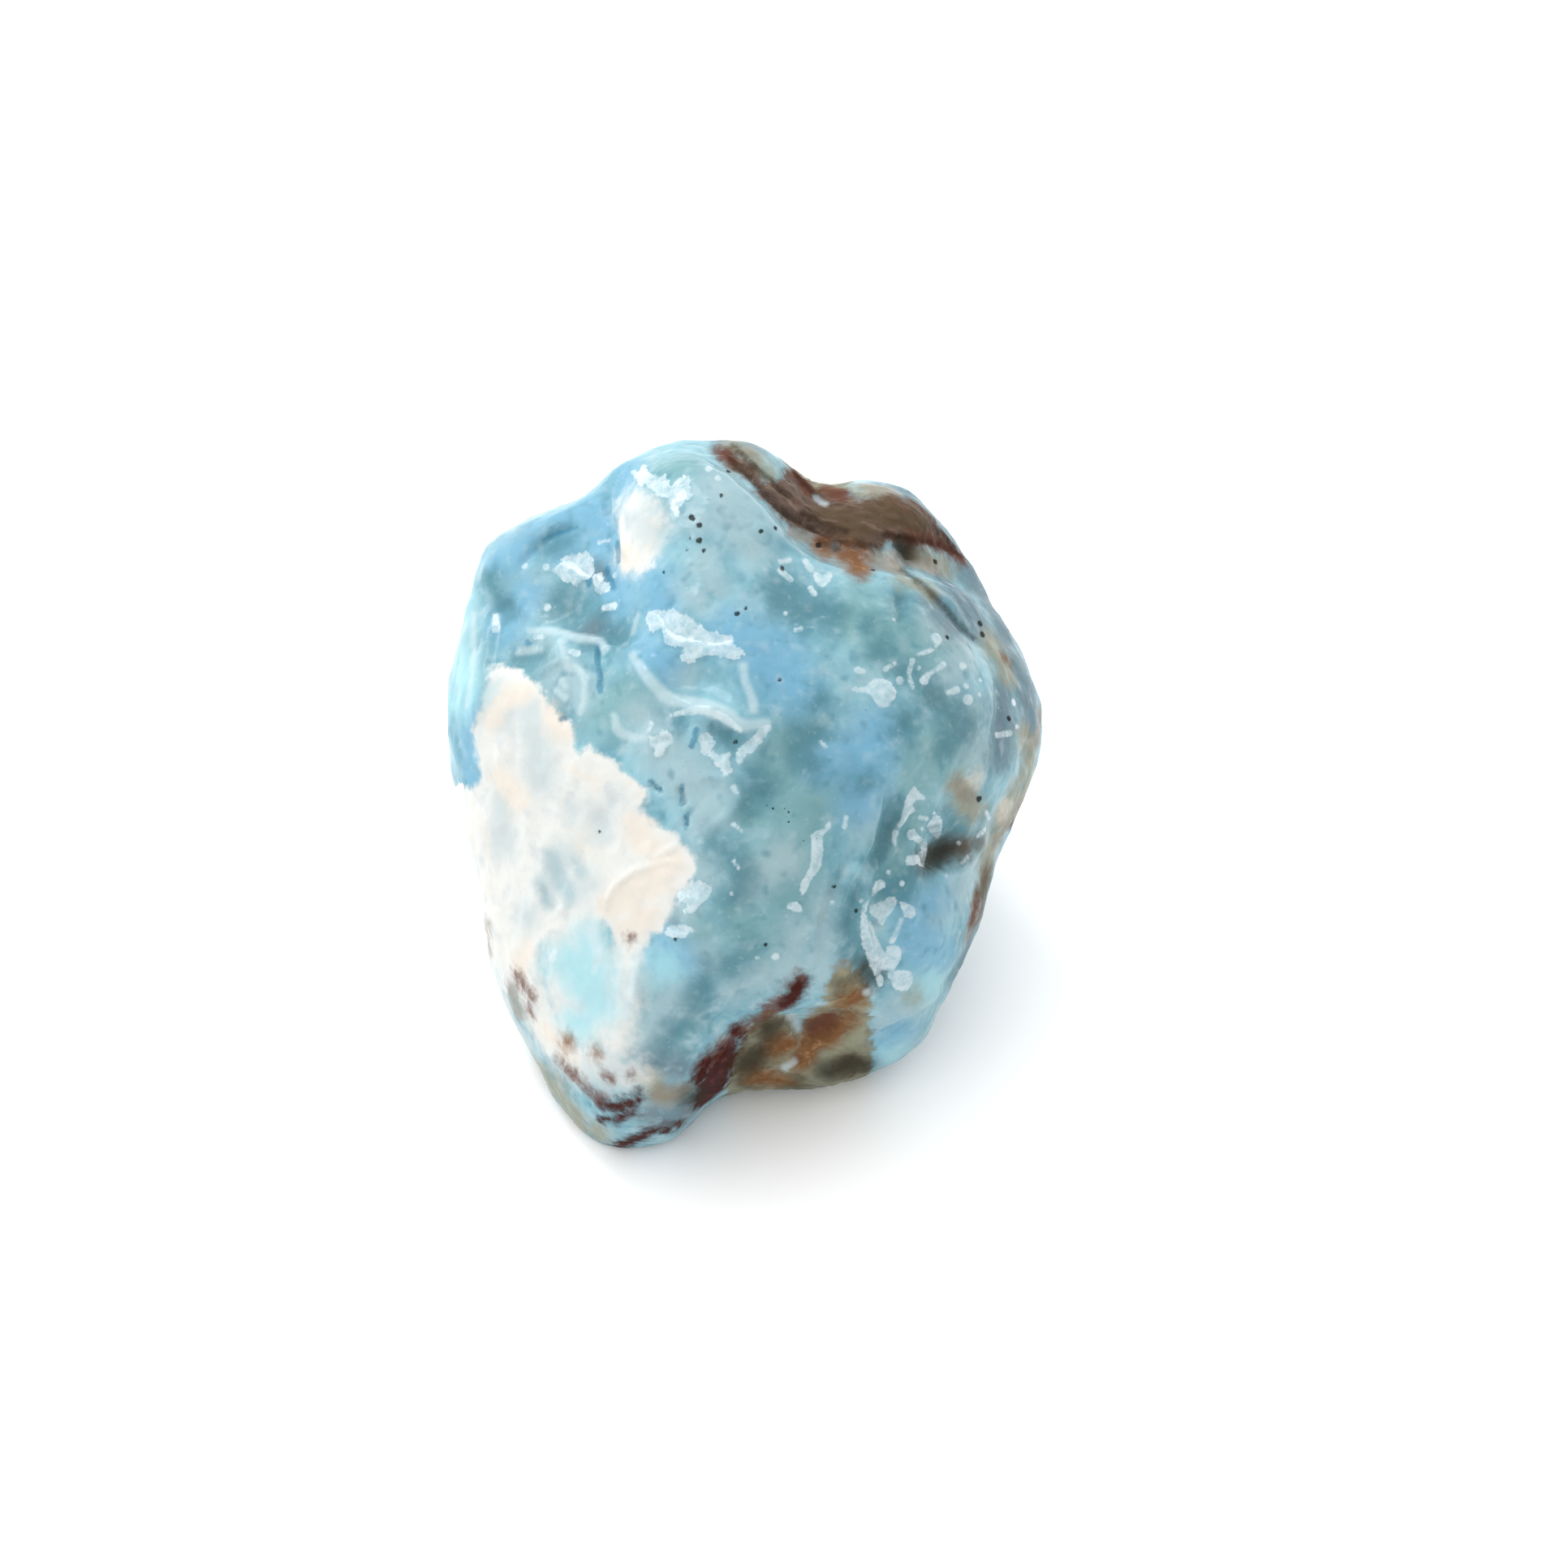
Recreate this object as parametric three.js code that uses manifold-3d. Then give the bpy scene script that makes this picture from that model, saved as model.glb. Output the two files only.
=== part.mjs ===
// A raw lump of larimar, the blue pectolite of the Dominican Republic, worn smooth by water and tumbling.
// It is one stone with no separate pieces: a broad, gently domed face with a crown above and a narrow foot
// below, a deep seam of brown host rock across the top right, and a flat break underneath that it rests on.
//
// The shape is described square on to the broad face, from the heart of the stone: x to the right across
// the face, y up it and z out of it, in millimetres. At the end the stone is tipped back to lie on its break.

import * as THREE from "three";
import { mergeVertices } from "three/addons/utils/BufferGeometryUtils.js";
import Module from "manifold-3d";

// ---- Driving dimensions ----

const MESH_DETAIL = 18; // an icosphere of 20 * (MESH_DETAIL + 1)^2 triangles

const TIP_BACK = THREE.MathUtils.degToRad(45); // how far the broad face leans back from upright
const BREAK_DISTANCE = 17.4; // heart of the stone to the flat break that it rests on

const FACE_DOME = 13.5; // heart to the crest of the broad face
const BACK_DOME = 20; // heart to the crest of the hidden back
const DOME_SQUARENESS = 2.35; // 2 is an ellipse, more is boxier
const EDGE_SHARPNESS = 13; // how crisply the worn planes meet

// The widest outline of the stone, anticlockwise from the crown, with how far behind the heart it lies there.
const GIRDLE = [
  [-2.4, 22.4, -3],
  [-6.3, 22.1, -3],
  [-8.8, 20.4, -3],
  [-10.2, 18.9, -3],
  [-13.3, 17.9, -3],
  [-16.5, 16.6, -3.5],
  [-17.1, 13.2, -4],
  [-18.3, 9.2, -4],
  [-18.8, 5.2, -4],
  [-18.6, 1.6, -4],
  [-17.8, -2.1, -4],
  [-17, -6.1, -4],
  [-16, -11.2, -3.5],
  [-13.9, -16.3, -3],
  [-11.8, -20.8, -2.5],
  [-9.6, -22.8, -2],
  [-6.4, -22.4, -2.5],
  [-3.9, -21.4, -3.5],
  [-2.3, -19.3, -4.5],
  [0, -18.5, -5.5],
  [4.2, -18.5, -6],
  [8.2, -17.5, -5.5],
  [11.3, -15.7, -5],
  [12.7, -12.8, -5],
  [15, -8.3, -5.5],
  [16, -3.6, -6],
  [18, 0.7, -6],
  [19.4, 4.9, -6],
  [19, 7.6, -6],
  [17.4, 10.7, -6.5],
  [15.4, 14.3, -7],
  [12, 18, -8],
  [9.3, 19.6, -8.5],
  [6.3, 19.6, -8],
  [4.4, 19.2, -6],
  [2.2, 21, -4],
  [0, 22, -3],
];

// Planes that wear has left: the direction each faces, and its distance from the heart.
const WORN_PLANES = [
  { name: "white face", faces: [-0.55, -0.1, 0.82], distance: 12.6 },
  { name: "middle face", faces: [0.2, 0.12, 0.97], distance: 13.2 },
  { name: "upper left shoulder", faces: [-0.5, 0.45, 0.74], distance: 15.8 },
  { name: "crown front", faces: [-0.05, 0.52, 0.85], distance: 17.2 },
  { name: "right shoulder", faces: [0.8, 0.38, 0.46], distance: 18 },
  { name: "lower right lobe", faces: [0.68, -0.3, 0.66], distance: 15 },
  { name: "chin", faces: [0.1, -0.52, 0.85], distance: 15.2 },
  { name: "left of the foot", faces: [-0.66, -0.5, 0.56], distance: 17.6 },
  { name: "back", faces: [0.05, 0.1, -0.99], distance: 18 },
  { name: "upper back", faces: [-0.2, 0.75, -0.63], distance: 18.6 },
  { name: "back left", faces: [-0.8, 0.1, -0.6], distance: 18 },
  { name: "back right", faces: [0.72, 0.3, -0.63], distance: 18.8 },
  { name: "low back right", faces: [0.7, -0.45, -0.55], distance: 17 },
];

// Broad swells (+) and hollows (-): their place, seen square on from the front, radius, and height.
const FACE_SWELLS = [
  { name: "crown", at: [-3.6, 17.2], radius: 4.6, height: 1.9 },
  { name: "trough left of the crown", at: [-11, 13.6], radius: 3.4, height: -2.6 },
  { name: "trough's lower end", at: [-14.4, 9.6], radius: 2.6, height: -1.1 },
  { name: "basin under the crown", at: [-8.6, 9.8], radius: 2.8, height: -1.6 },
  { name: "shelf right of the basin", at: [-3, 9.4], radius: 3.2, height: 0.5 },
  { name: "hollow above the lip", at: [-3.2, 7], radius: 2.2, height: -1 },
  { name: "left shoulder", at: [-16.2, 6], radius: 3.2, height: 0.8 },
  { name: "middle", at: [3.5, 6], radius: 5.5, height: 0.8 },
  { name: "knobbly right", at: [12, 7], radius: 4.2, height: 1 },
  { name: "hollow by the crease", at: [8.8, -2.6], radius: 2.4, height: -0.8 },
  { name: "pit", at: [12.1, -3.6], radius: 1.8, height: -1.6 },
  { name: "lower right lobe", at: [10.8, -9.4], radius: 3.8, height: 1.3 },
  { name: "hollow of host rock", at: [4.2, -15.6], radius: 3.4, height: -2.2 },
  { name: "foot", at: [-8.5, -17.5], radius: 4, height: 0.9 },
  { name: "cheek", at: [0, -6], radius: 4.5, height: 0.7 },
  { name: "lump behind the seam", at: [9, 18], radius: 3.4, height: 0.8 },
];

const BACK_SWELLS = [
  { name: "hollow of the back", at: [4, 3], radius: 6, height: -0.8 },
  { name: "upper knob", at: [7.5, 12], radius: 3.6, height: 0.9 },
  { name: "upper left hollow", at: [-8.5, 11], radius: 4, height: -0.9 },
  { name: "left swell", at: [-9, -2], radius: 5, height: 0.9 },
  { name: "right hollow", at: [13.5, -2], radius: 3.6, height: -0.6 },
];

// Seams and ridges drawn across the stone: the line they follow, half their width, and height.
const FACE_LINES = [
  {
    name: "brown seam",
    line: [[-1.2, 21], [1.1, 18.7], [2.9, 17.3], [4.6, 16.3], [7.1, 15.5], [10.6, 14.9], [14, 14.2]],
    width: 1.7,
    height: -1.5,
  },
  {
    name: "scoop behind the seam",
    line: [[2.6, 19.2], [5.6, 17.6], [9, 16.9]],
    width: 2.2,
    height: -0.6,
  },
  {
    name: "left wall of the crown",
    line: [[-8.2, 18.6], [-8.1, 15.6], [-7.8, 12.8]],
    width: 1.2,
    height: -0.8,
  },
  {
    name: "rim of the trough",
    line: [[-9.6, 17.4], [-13, 16.2], [-16, 13.6], [-17, 9.6]],
    width: 1.1,
    height: 0.8,
  },
  {
    name: "lip like a breaking wave",
    line: [[-8.9, 8.7], [-6.4, 7.6], [-4.4, 5.6], [-1.8, 4.9], [1.1, 3.6]],
    width: 1,
    height: 0.8,
  },
  {
    name: "fold down the right",
    line: [[9.2, 3], [8.2, -0.6], [7.1, -4.6], [6, -8.6], [5.6, -11.6]],
    width: 1.1,
    height: 0.6,
  },
  {
    name: "valley right of the fold",
    line: [[9.8, 0.4], [8.9, -4.2], [7.8, -8], [7.4, -11]],
    width: 1.1,
    height: -0.7,
  },
];

const BACK_LINES = [
  {
    name: "brown seam over the back",
    line: [[14.6, 13.2], [12.4, 9.4], [9.2, 6.8], [7.4, 2.6], [2.6, 0.2], [0.6, -4.2], [-4.4, -5.6], [-8.2, -9.8]],
    width: 1.5,
    height: -0.6,
  },
  {
    name: "ridge over the back",
    line: [[-2, 17], [-1.2, 11.5], [-3.4, 6.8], [-2.2, 0], [1.4, -6.5]],
    width: 2,
    height: 0.9,
  },
];

// ---- The lump ----

// The girdle as a smooth closed curve, sampled for its radius and depth at any angle.
const girdleCurve = new THREE.CatmullRomCurve3(
  GIRDLE.map(([x, y, z]) => new THREE.Vector3(x, y, z)),
  true,
  "centripetal",
);
const GIRDLE_SAMPLES = 720;
const girdleByAngle = girdleCurve
  .getSpacedPoints(GIRDLE_SAMPLES)
  .slice(0, GIRDLE_SAMPLES)
  .map((p) => ({ angle: Math.atan2(p.y, p.x), radius: Math.hypot(p.x, p.y), depth: p.z }))
  .sort((a, b) => a.angle - b.angle);

function girdleAt(angle) {
  let high = girdleByAngle.findIndex((g) => g.angle >= angle);
  if (high < 0) high = 0;
  const low = (high + girdleByAngle.length - 1) % girdleByAngle.length;
  const turn = 2 * Math.PI;
  const span = (girdleByAngle[high].angle - girdleByAngle[low].angle + turn) % turn;
  const share = ((angle - girdleByAngle[low].angle + turn) % turn) / span;
  return {
    radius: THREE.MathUtils.lerp(girdleByAngle[low].radius, girdleByAngle[high].radius, share),
    depth: THREE.MathUtils.lerp(girdleByAngle[low].depth, girdleByAngle[high].depth, share),
  };
}

const wornPlanes = WORN_PLANES.map(({ faces, distance }) => ({
  normal: new THREE.Vector3(...faces).normalize(),
  distance,
}));

// The surface point of the lump in a direction from the heart, before its swells and seams.
function lumpPoint(direction) {
  const girdle = girdleAt(Math.atan2(direction.y, direction.x));
  const across = Math.hypot(direction.x, direction.y);
  const dome = direction.z > 0 ? FACE_DOME : BACK_DOME;
  const domed =
    (across / girdle.radius) ** DOME_SQUARENESS + (Math.abs(direction.z) / dome) ** DOME_SQUARENESS;
  let sharpened = domed ** (EDGE_SHARPNESS / DOME_SQUARENESS);
  for (const { normal, distance } of wornPlanes)
    sharpened += Math.max(0, normal.dot(direction) / distance) ** EDGE_SHARPNESS;
  const point = direction.clone().multiplyScalar(sharpened ** (-1 / EDGE_SHARPNESS));
  const nearness = (Math.hypot(point.x, point.y) / girdle.radius) ** 3; // 1 at the girdle
  point.z += girdle.depth * nearness;
  return point;
}

// ---- Swells, hollows and seams ----

const sphere = mergeVertices(
  (() => {
    const g = new THREE.IcosahedronGeometry(1, MESH_DETAIL);
    g.deleteAttribute("normal");
    g.deleteAttribute("uv");
    return g;
  })(),
);
const directions = [];
for (let i = 0; i < sphere.attributes.position.count; i++)
  directions.push(new THREE.Vector3().fromBufferAttribute(sphere.attributes.position, i).normalize());
const lump = directions.map(lumpPoint);

const FRONT = 1;
const BACK = -1;

// The lump's point behind or in front of x, y.
function onSide([x, y], side) {
  let best = null;
  let nearest = Infinity;
  lump.forEach((p, i) => {
    const gap = Math.hypot(p.x - x, p.y - y);
    if (side * directions[i].z > -0.1 && gap < nearest) {
      nearest = gap;
      best = p;
    }
  });
  return new THREE.Vector3(x, y, best.z);
}

const bell = (gap, reach) => Math.exp(-((gap / reach) ** 2));

const placeSwell = (side) => ({ at, radius, height }) => ({ centre: onSide(at, side), radius, height });
const swells = [...FACE_SWELLS.map(placeSwell(FRONT)), ...BACK_SWELLS.map(placeSwell(BACK))];

const LINE_STEPS = 60;
const placeLine = (side) => ({ line, width, height }) => ({
  points: new THREE.CatmullRomCurve3(line.map((place) => onSide(place, side))).getSpacedPoints(LINE_STEPS),
  width,
  height,
});
const lines = [...FACE_LINES.map(placeLine(FRONT)), ...BACK_LINES.map(placeLine(BACK))];

const shaped = lump.map((point, i) => {
  let rise = 0;
  for (const { centre, radius, height } of swells) rise += height * bell(point.distanceTo(centre), radius);
  for (const { points, width, height } of lines)
    rise += height * bell(Math.min(...points.map((q) => q.distanceTo(point))), width);
  return point.clone().addScaledVector(directions[i], rise);
});

// ---- Tipped back, with the break cut flat ----

const tip = new THREE.Matrix4().makeRotationX(TIP_BACK);
const positions = new Float32Array(shaped.flatMap((p) => p.clone().applyMatrix4(tip).toArray()));

const wasm = await Module();
wasm.setup();

function solidOf(vertProperties, triVerts) {
  return new wasm.Manifold(new wasm.Mesh({ numProp: 3, vertProperties, triVerts }));
}

const FLOOR_BLOCK = 100; // larger than the stone
const block = new THREE.BoxGeometry(FLOOR_BLOCK, FLOOR_BLOCK, FLOOR_BLOCK);
block.deleteAttribute("normal");
block.deleteAttribute("uv");
block.translate(0, 0, -FLOOR_BLOCK / 2 - BREAK_DISTANCE);
const floor = mergeVertices(block);

const stoneSolid = solidOf(positions, new Uint32Array(sphere.index.array)).subtract(
  solidOf(floor.attributes.position.array, new Uint32Array(floor.index.array)),
);

const cut = stoneSolid.getMesh();
const geometry = new THREE.BufferGeometry();
geometry.setAttribute("position", new THREE.BufferAttribute(cut.vertProperties, 3));
geometry.setIndex(new THREE.BufferAttribute(cut.triVerts, 1));

geometry.computeVertexNormals();

const larimar = new THREE.Mesh(
  geometry,
  new THREE.MeshStandardMaterial({ color: 0x8fbfd0, roughness: 0.25, metalness: 0 }),
);
larimar.name = "larimar_stone";

// The part's origin is the middle of the stone's box, on the surface that it rests on.
geometry.computeBoundingBox();
const box = geometry.boundingBox;
larimar.position.set(-(box.min.x + box.max.x) / 2, -(box.min.y + box.max.y) / 2, -box.min.z);

const stone = new THREE.Group();
stone.add(larimar);

export default stone;
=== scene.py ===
# A raw lump of larimar, worn smooth and wet, resting on its flat break on a pale studio floor.

import math

import bpy
import numpy as np
from mathutils import Matrix, Vector, noise


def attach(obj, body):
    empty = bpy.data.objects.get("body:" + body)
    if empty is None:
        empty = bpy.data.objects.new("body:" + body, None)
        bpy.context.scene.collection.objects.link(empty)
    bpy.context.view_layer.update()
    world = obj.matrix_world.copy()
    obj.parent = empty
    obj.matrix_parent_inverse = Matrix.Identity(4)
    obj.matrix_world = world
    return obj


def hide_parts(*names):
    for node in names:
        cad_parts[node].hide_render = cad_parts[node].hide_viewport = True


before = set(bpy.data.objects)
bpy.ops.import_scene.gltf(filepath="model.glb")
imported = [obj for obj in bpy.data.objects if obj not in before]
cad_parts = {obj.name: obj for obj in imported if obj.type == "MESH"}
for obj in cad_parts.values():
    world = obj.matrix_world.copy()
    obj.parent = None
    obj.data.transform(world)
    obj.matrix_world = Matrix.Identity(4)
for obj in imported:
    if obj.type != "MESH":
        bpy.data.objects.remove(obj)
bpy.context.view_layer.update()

# ---- The stone ----
# Raw larimar: blue pectolite that filled a gas hole in basalt, chalky white in places, with a brown seam of
# the host rock and haematite stains. Streams and then a tumbling drum wore its skin smooth. It is wet, so a
# thin film of water fills the pores and shines. It rests on the flat where it broke off.

MM = 0.001
HEART = Vector((-0.09, -3.02, 17.4))  # mm: the middle of the lump, from which places on its skin are told
TIP_BACK = math.radians(45)  # how far the broad face leans back
SKIN_GRID = 0.42 * MM
WIDEST = -4.0  # mm, out of the broad face: where the stone is widest, and its front and back meet
FACE_TURNS = -0.1  # how far the broad face's finer skin turns away past its edge
FRONT, BACK = 1, -1


def only(piece):
    """Selects this piece and nothing else."""
    bpy.ops.object.select_all(action="DESELECT")
    piece.select_set(True)
    bpy.context.view_layer.objects.active = piece


def apply_modifier(piece, kind, **settings):
    """Gives a piece a modifier with these settings, and applies it."""
    modifier = piece.modifiers.new(kind.title(), kind)
    for name, value in settings.items():
        setattr(modifier, name, value)
    only(piece)
    bpy.ops.object.modifier_apply(modifier=modifier.name)


# The lump's own shape comes from the frame. Its skin is first made of small even faces, and those of the
# broad face are then halved, fine enough to carry its wear.
stone = bpy.data.objects.new("larimar_lump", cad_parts["larimar_stone"].data.copy())
bpy.context.scene.collection.objects.link(stone)
only(stone)
bpy.ops.object.mode_set(mode="EDIT")
bpy.ops.mesh.select_all(action="SELECT")
bpy.ops.mesh.remove_doubles(threshold=0.001 * MM)
bpy.ops.object.mode_set(mode="OBJECT")
apply_modifier(stone, "REMESH", mode="VOXEL", voxel_size=SKIN_GRID)
apply_modifier(stone, "SMOOTH", factor=0.5, iterations=18)

lean_cos = math.cos(TIP_BACK)
lean_sin = math.sin(TIP_BACK)
# Rows: across the broad face, up it, and out of it.
FACE_AXES = np.array([[1, 0, 0], [0, lean_sin, lean_cos], [0, -lean_cos, lean_sin]])


def skin(what):
    """The skin's points, or its normals, as seen square on to the broad face, in mm."""
    mesh = stone.data
    found = np.empty(len(mesh.vertices) * 3, np.float32)
    if what == "points":
        mesh.vertices.foreach_get("co", found)
        return (found.reshape(-1, 3) / MM - np.array(HEART)) @ FACE_AXES.T
    mesh.vertex_normals.foreach_get("vector", found)
    return found.reshape(-1, 3) @ FACE_AXES.T


def set_skin(places):
    """Moves the skin's points to these places, told as skin() tells them."""
    world = (places @ FACE_AXES + np.array(HEART)) * MM
    stone.data.vertices.foreach_set("co", world.astype(np.float32).ravel())
    stone.data.update()


on_face = (skin("points")[:, 2] > WIDEST) & (skin("normals")[:, 2] > FACE_TURNS)
for polygon in stone.data.polygons:
    polygon.select = all(on_face[corner] for corner in polygon.vertices)
bpy.ops.object.mode_set(mode="EDIT")
bpy.ops.mesh.select_mode(type="FACE")
bpy.ops.mesh.subdivide(number_cuts=1)
bpy.ops.object.mode_set(mode="OBJECT")
apply_modifier(stone, "SMOOTH", factor=0.5, iterations=6)

# Wear of no particular place: broad soft dimples, and smaller ones between them.
for dimple, depth in ((3.4 * MM, 0.5 * MM), (1.3 * MM, 0.1 * MM)):
    wear = bpy.data.textures.new("wear", "CLOUDS")
    wear.noise_scale = dimple
    wear.noise_depth = 1
    apply_modifier(stone, "DISPLACE", texture=wear, strength=depth, mid_level=0.5)

points = skin("points")
normals = skin("normals")
unworn = points.copy()
unworn_normals = normals.copy()
PATCH_TURNS = -0.35  # how far a patch of colour turns away past the edge of its side
SIDE_OVERLAP = 3.0  # mm: how far a side goes on past where the stone is widest
ROUTE_STEP = 0.2  # mm
SQUASH = np.array([1, 1, 0.35])  # a mark keeps its width as seen square on, so it runs on over an edge


def rows(numbers, each):
    """Numbers in tenths of a millimetre, told one after another, as mm in rows of this many."""
    return np.reshape(numbers, (-1, each)) / 10


def belongs(side):
    """Which of the skin's points are on the front of the stone, or on its back."""
    return (points[:, 2] - WIDEST) * side > -SIDE_OVERLAP


def route(stops, side, closed=False):
    """A smooth line through stops, x, y and at times half width, on the skin of one side.

    Gives x, y, out and half width all along it."""
    stops = np.pad(stops, ((0, 0), (0, 3 - stops.shape[1])))
    laid = [stops[0]]
    if len(stops) > 1:
        before = stops[-1] if closed else 2 * stops[0] - stops[1]
        after = [stops[0], stops[1]] if closed else [2 * stops[-1] - stops[-2]]
        whole = np.vstack([before, stops, after])
        for a, b, c, d in zip(whole, whole[1:], whole[2:], whole[3:]):
            steps = max(2, int(np.hypot(c[0] - b[0], c[1] - b[1]) / ROUTE_STEP))
            for t in (np.arange(steps) + 1) / steps:
                curve = 2 * b + (c - a) * t + (2 * a - 5 * b + 4 * c - d) * t**2
                laid.append((curve + (3 * b - a - 3 * c + d) * t**3) / 2)
    laid = np.array(laid)
    facing = np.flatnonzero((normals[:, 2] * side > 0) & belongs(side))
    gaps = (points[facing, 0][None] - laid[:, :1]) ** 2 + (points[facing, 1][None] - laid[:, 1:2]) ** 2
    out = points[facing[gaps.argmin(1)], 2]
    return np.column_stack([laid[:, :2], out, np.maximum(laid[:, 2], 0)])


def reach(line, far):
    """The skin's points less than far from a line, their distance past its width, and how far along."""
    edge = (far + line[:, 3].max()) / SQUASH
    near = ((points > line[:, :3].min(0) - edge) & (points < line[:, :3].max(0) + edge)).all(1)
    near = np.flatnonzero(near)
    gap = np.linalg.norm((points[near][:, None] - line[None, :, :3]) * SQUASH, axis=2) - line[None, :, 3]
    best = gap.argmin(1)
    return near, gap[np.arange(len(near)), best], best / max(1, len(line) - 1)


SEED_STEPS = (7.3, 3.1, 5.7)  # keeps the noise of each seed clear of the next one's


def grain(size, seed=0):
    """Smooth noise from -1 to 1 over the skin, with swells of this size in mm."""
    shift = Vector([seed * step for step in SEED_STEPS])
    return np.array([noise.noise(Vector(place) / size + shift) for place in points.tolist()])


def press(amount, near=slice(None)):
    """Lifts the skin's points along its normals."""
    points[near] += normals[near] * np.asarray(amount)[:, None]


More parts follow.
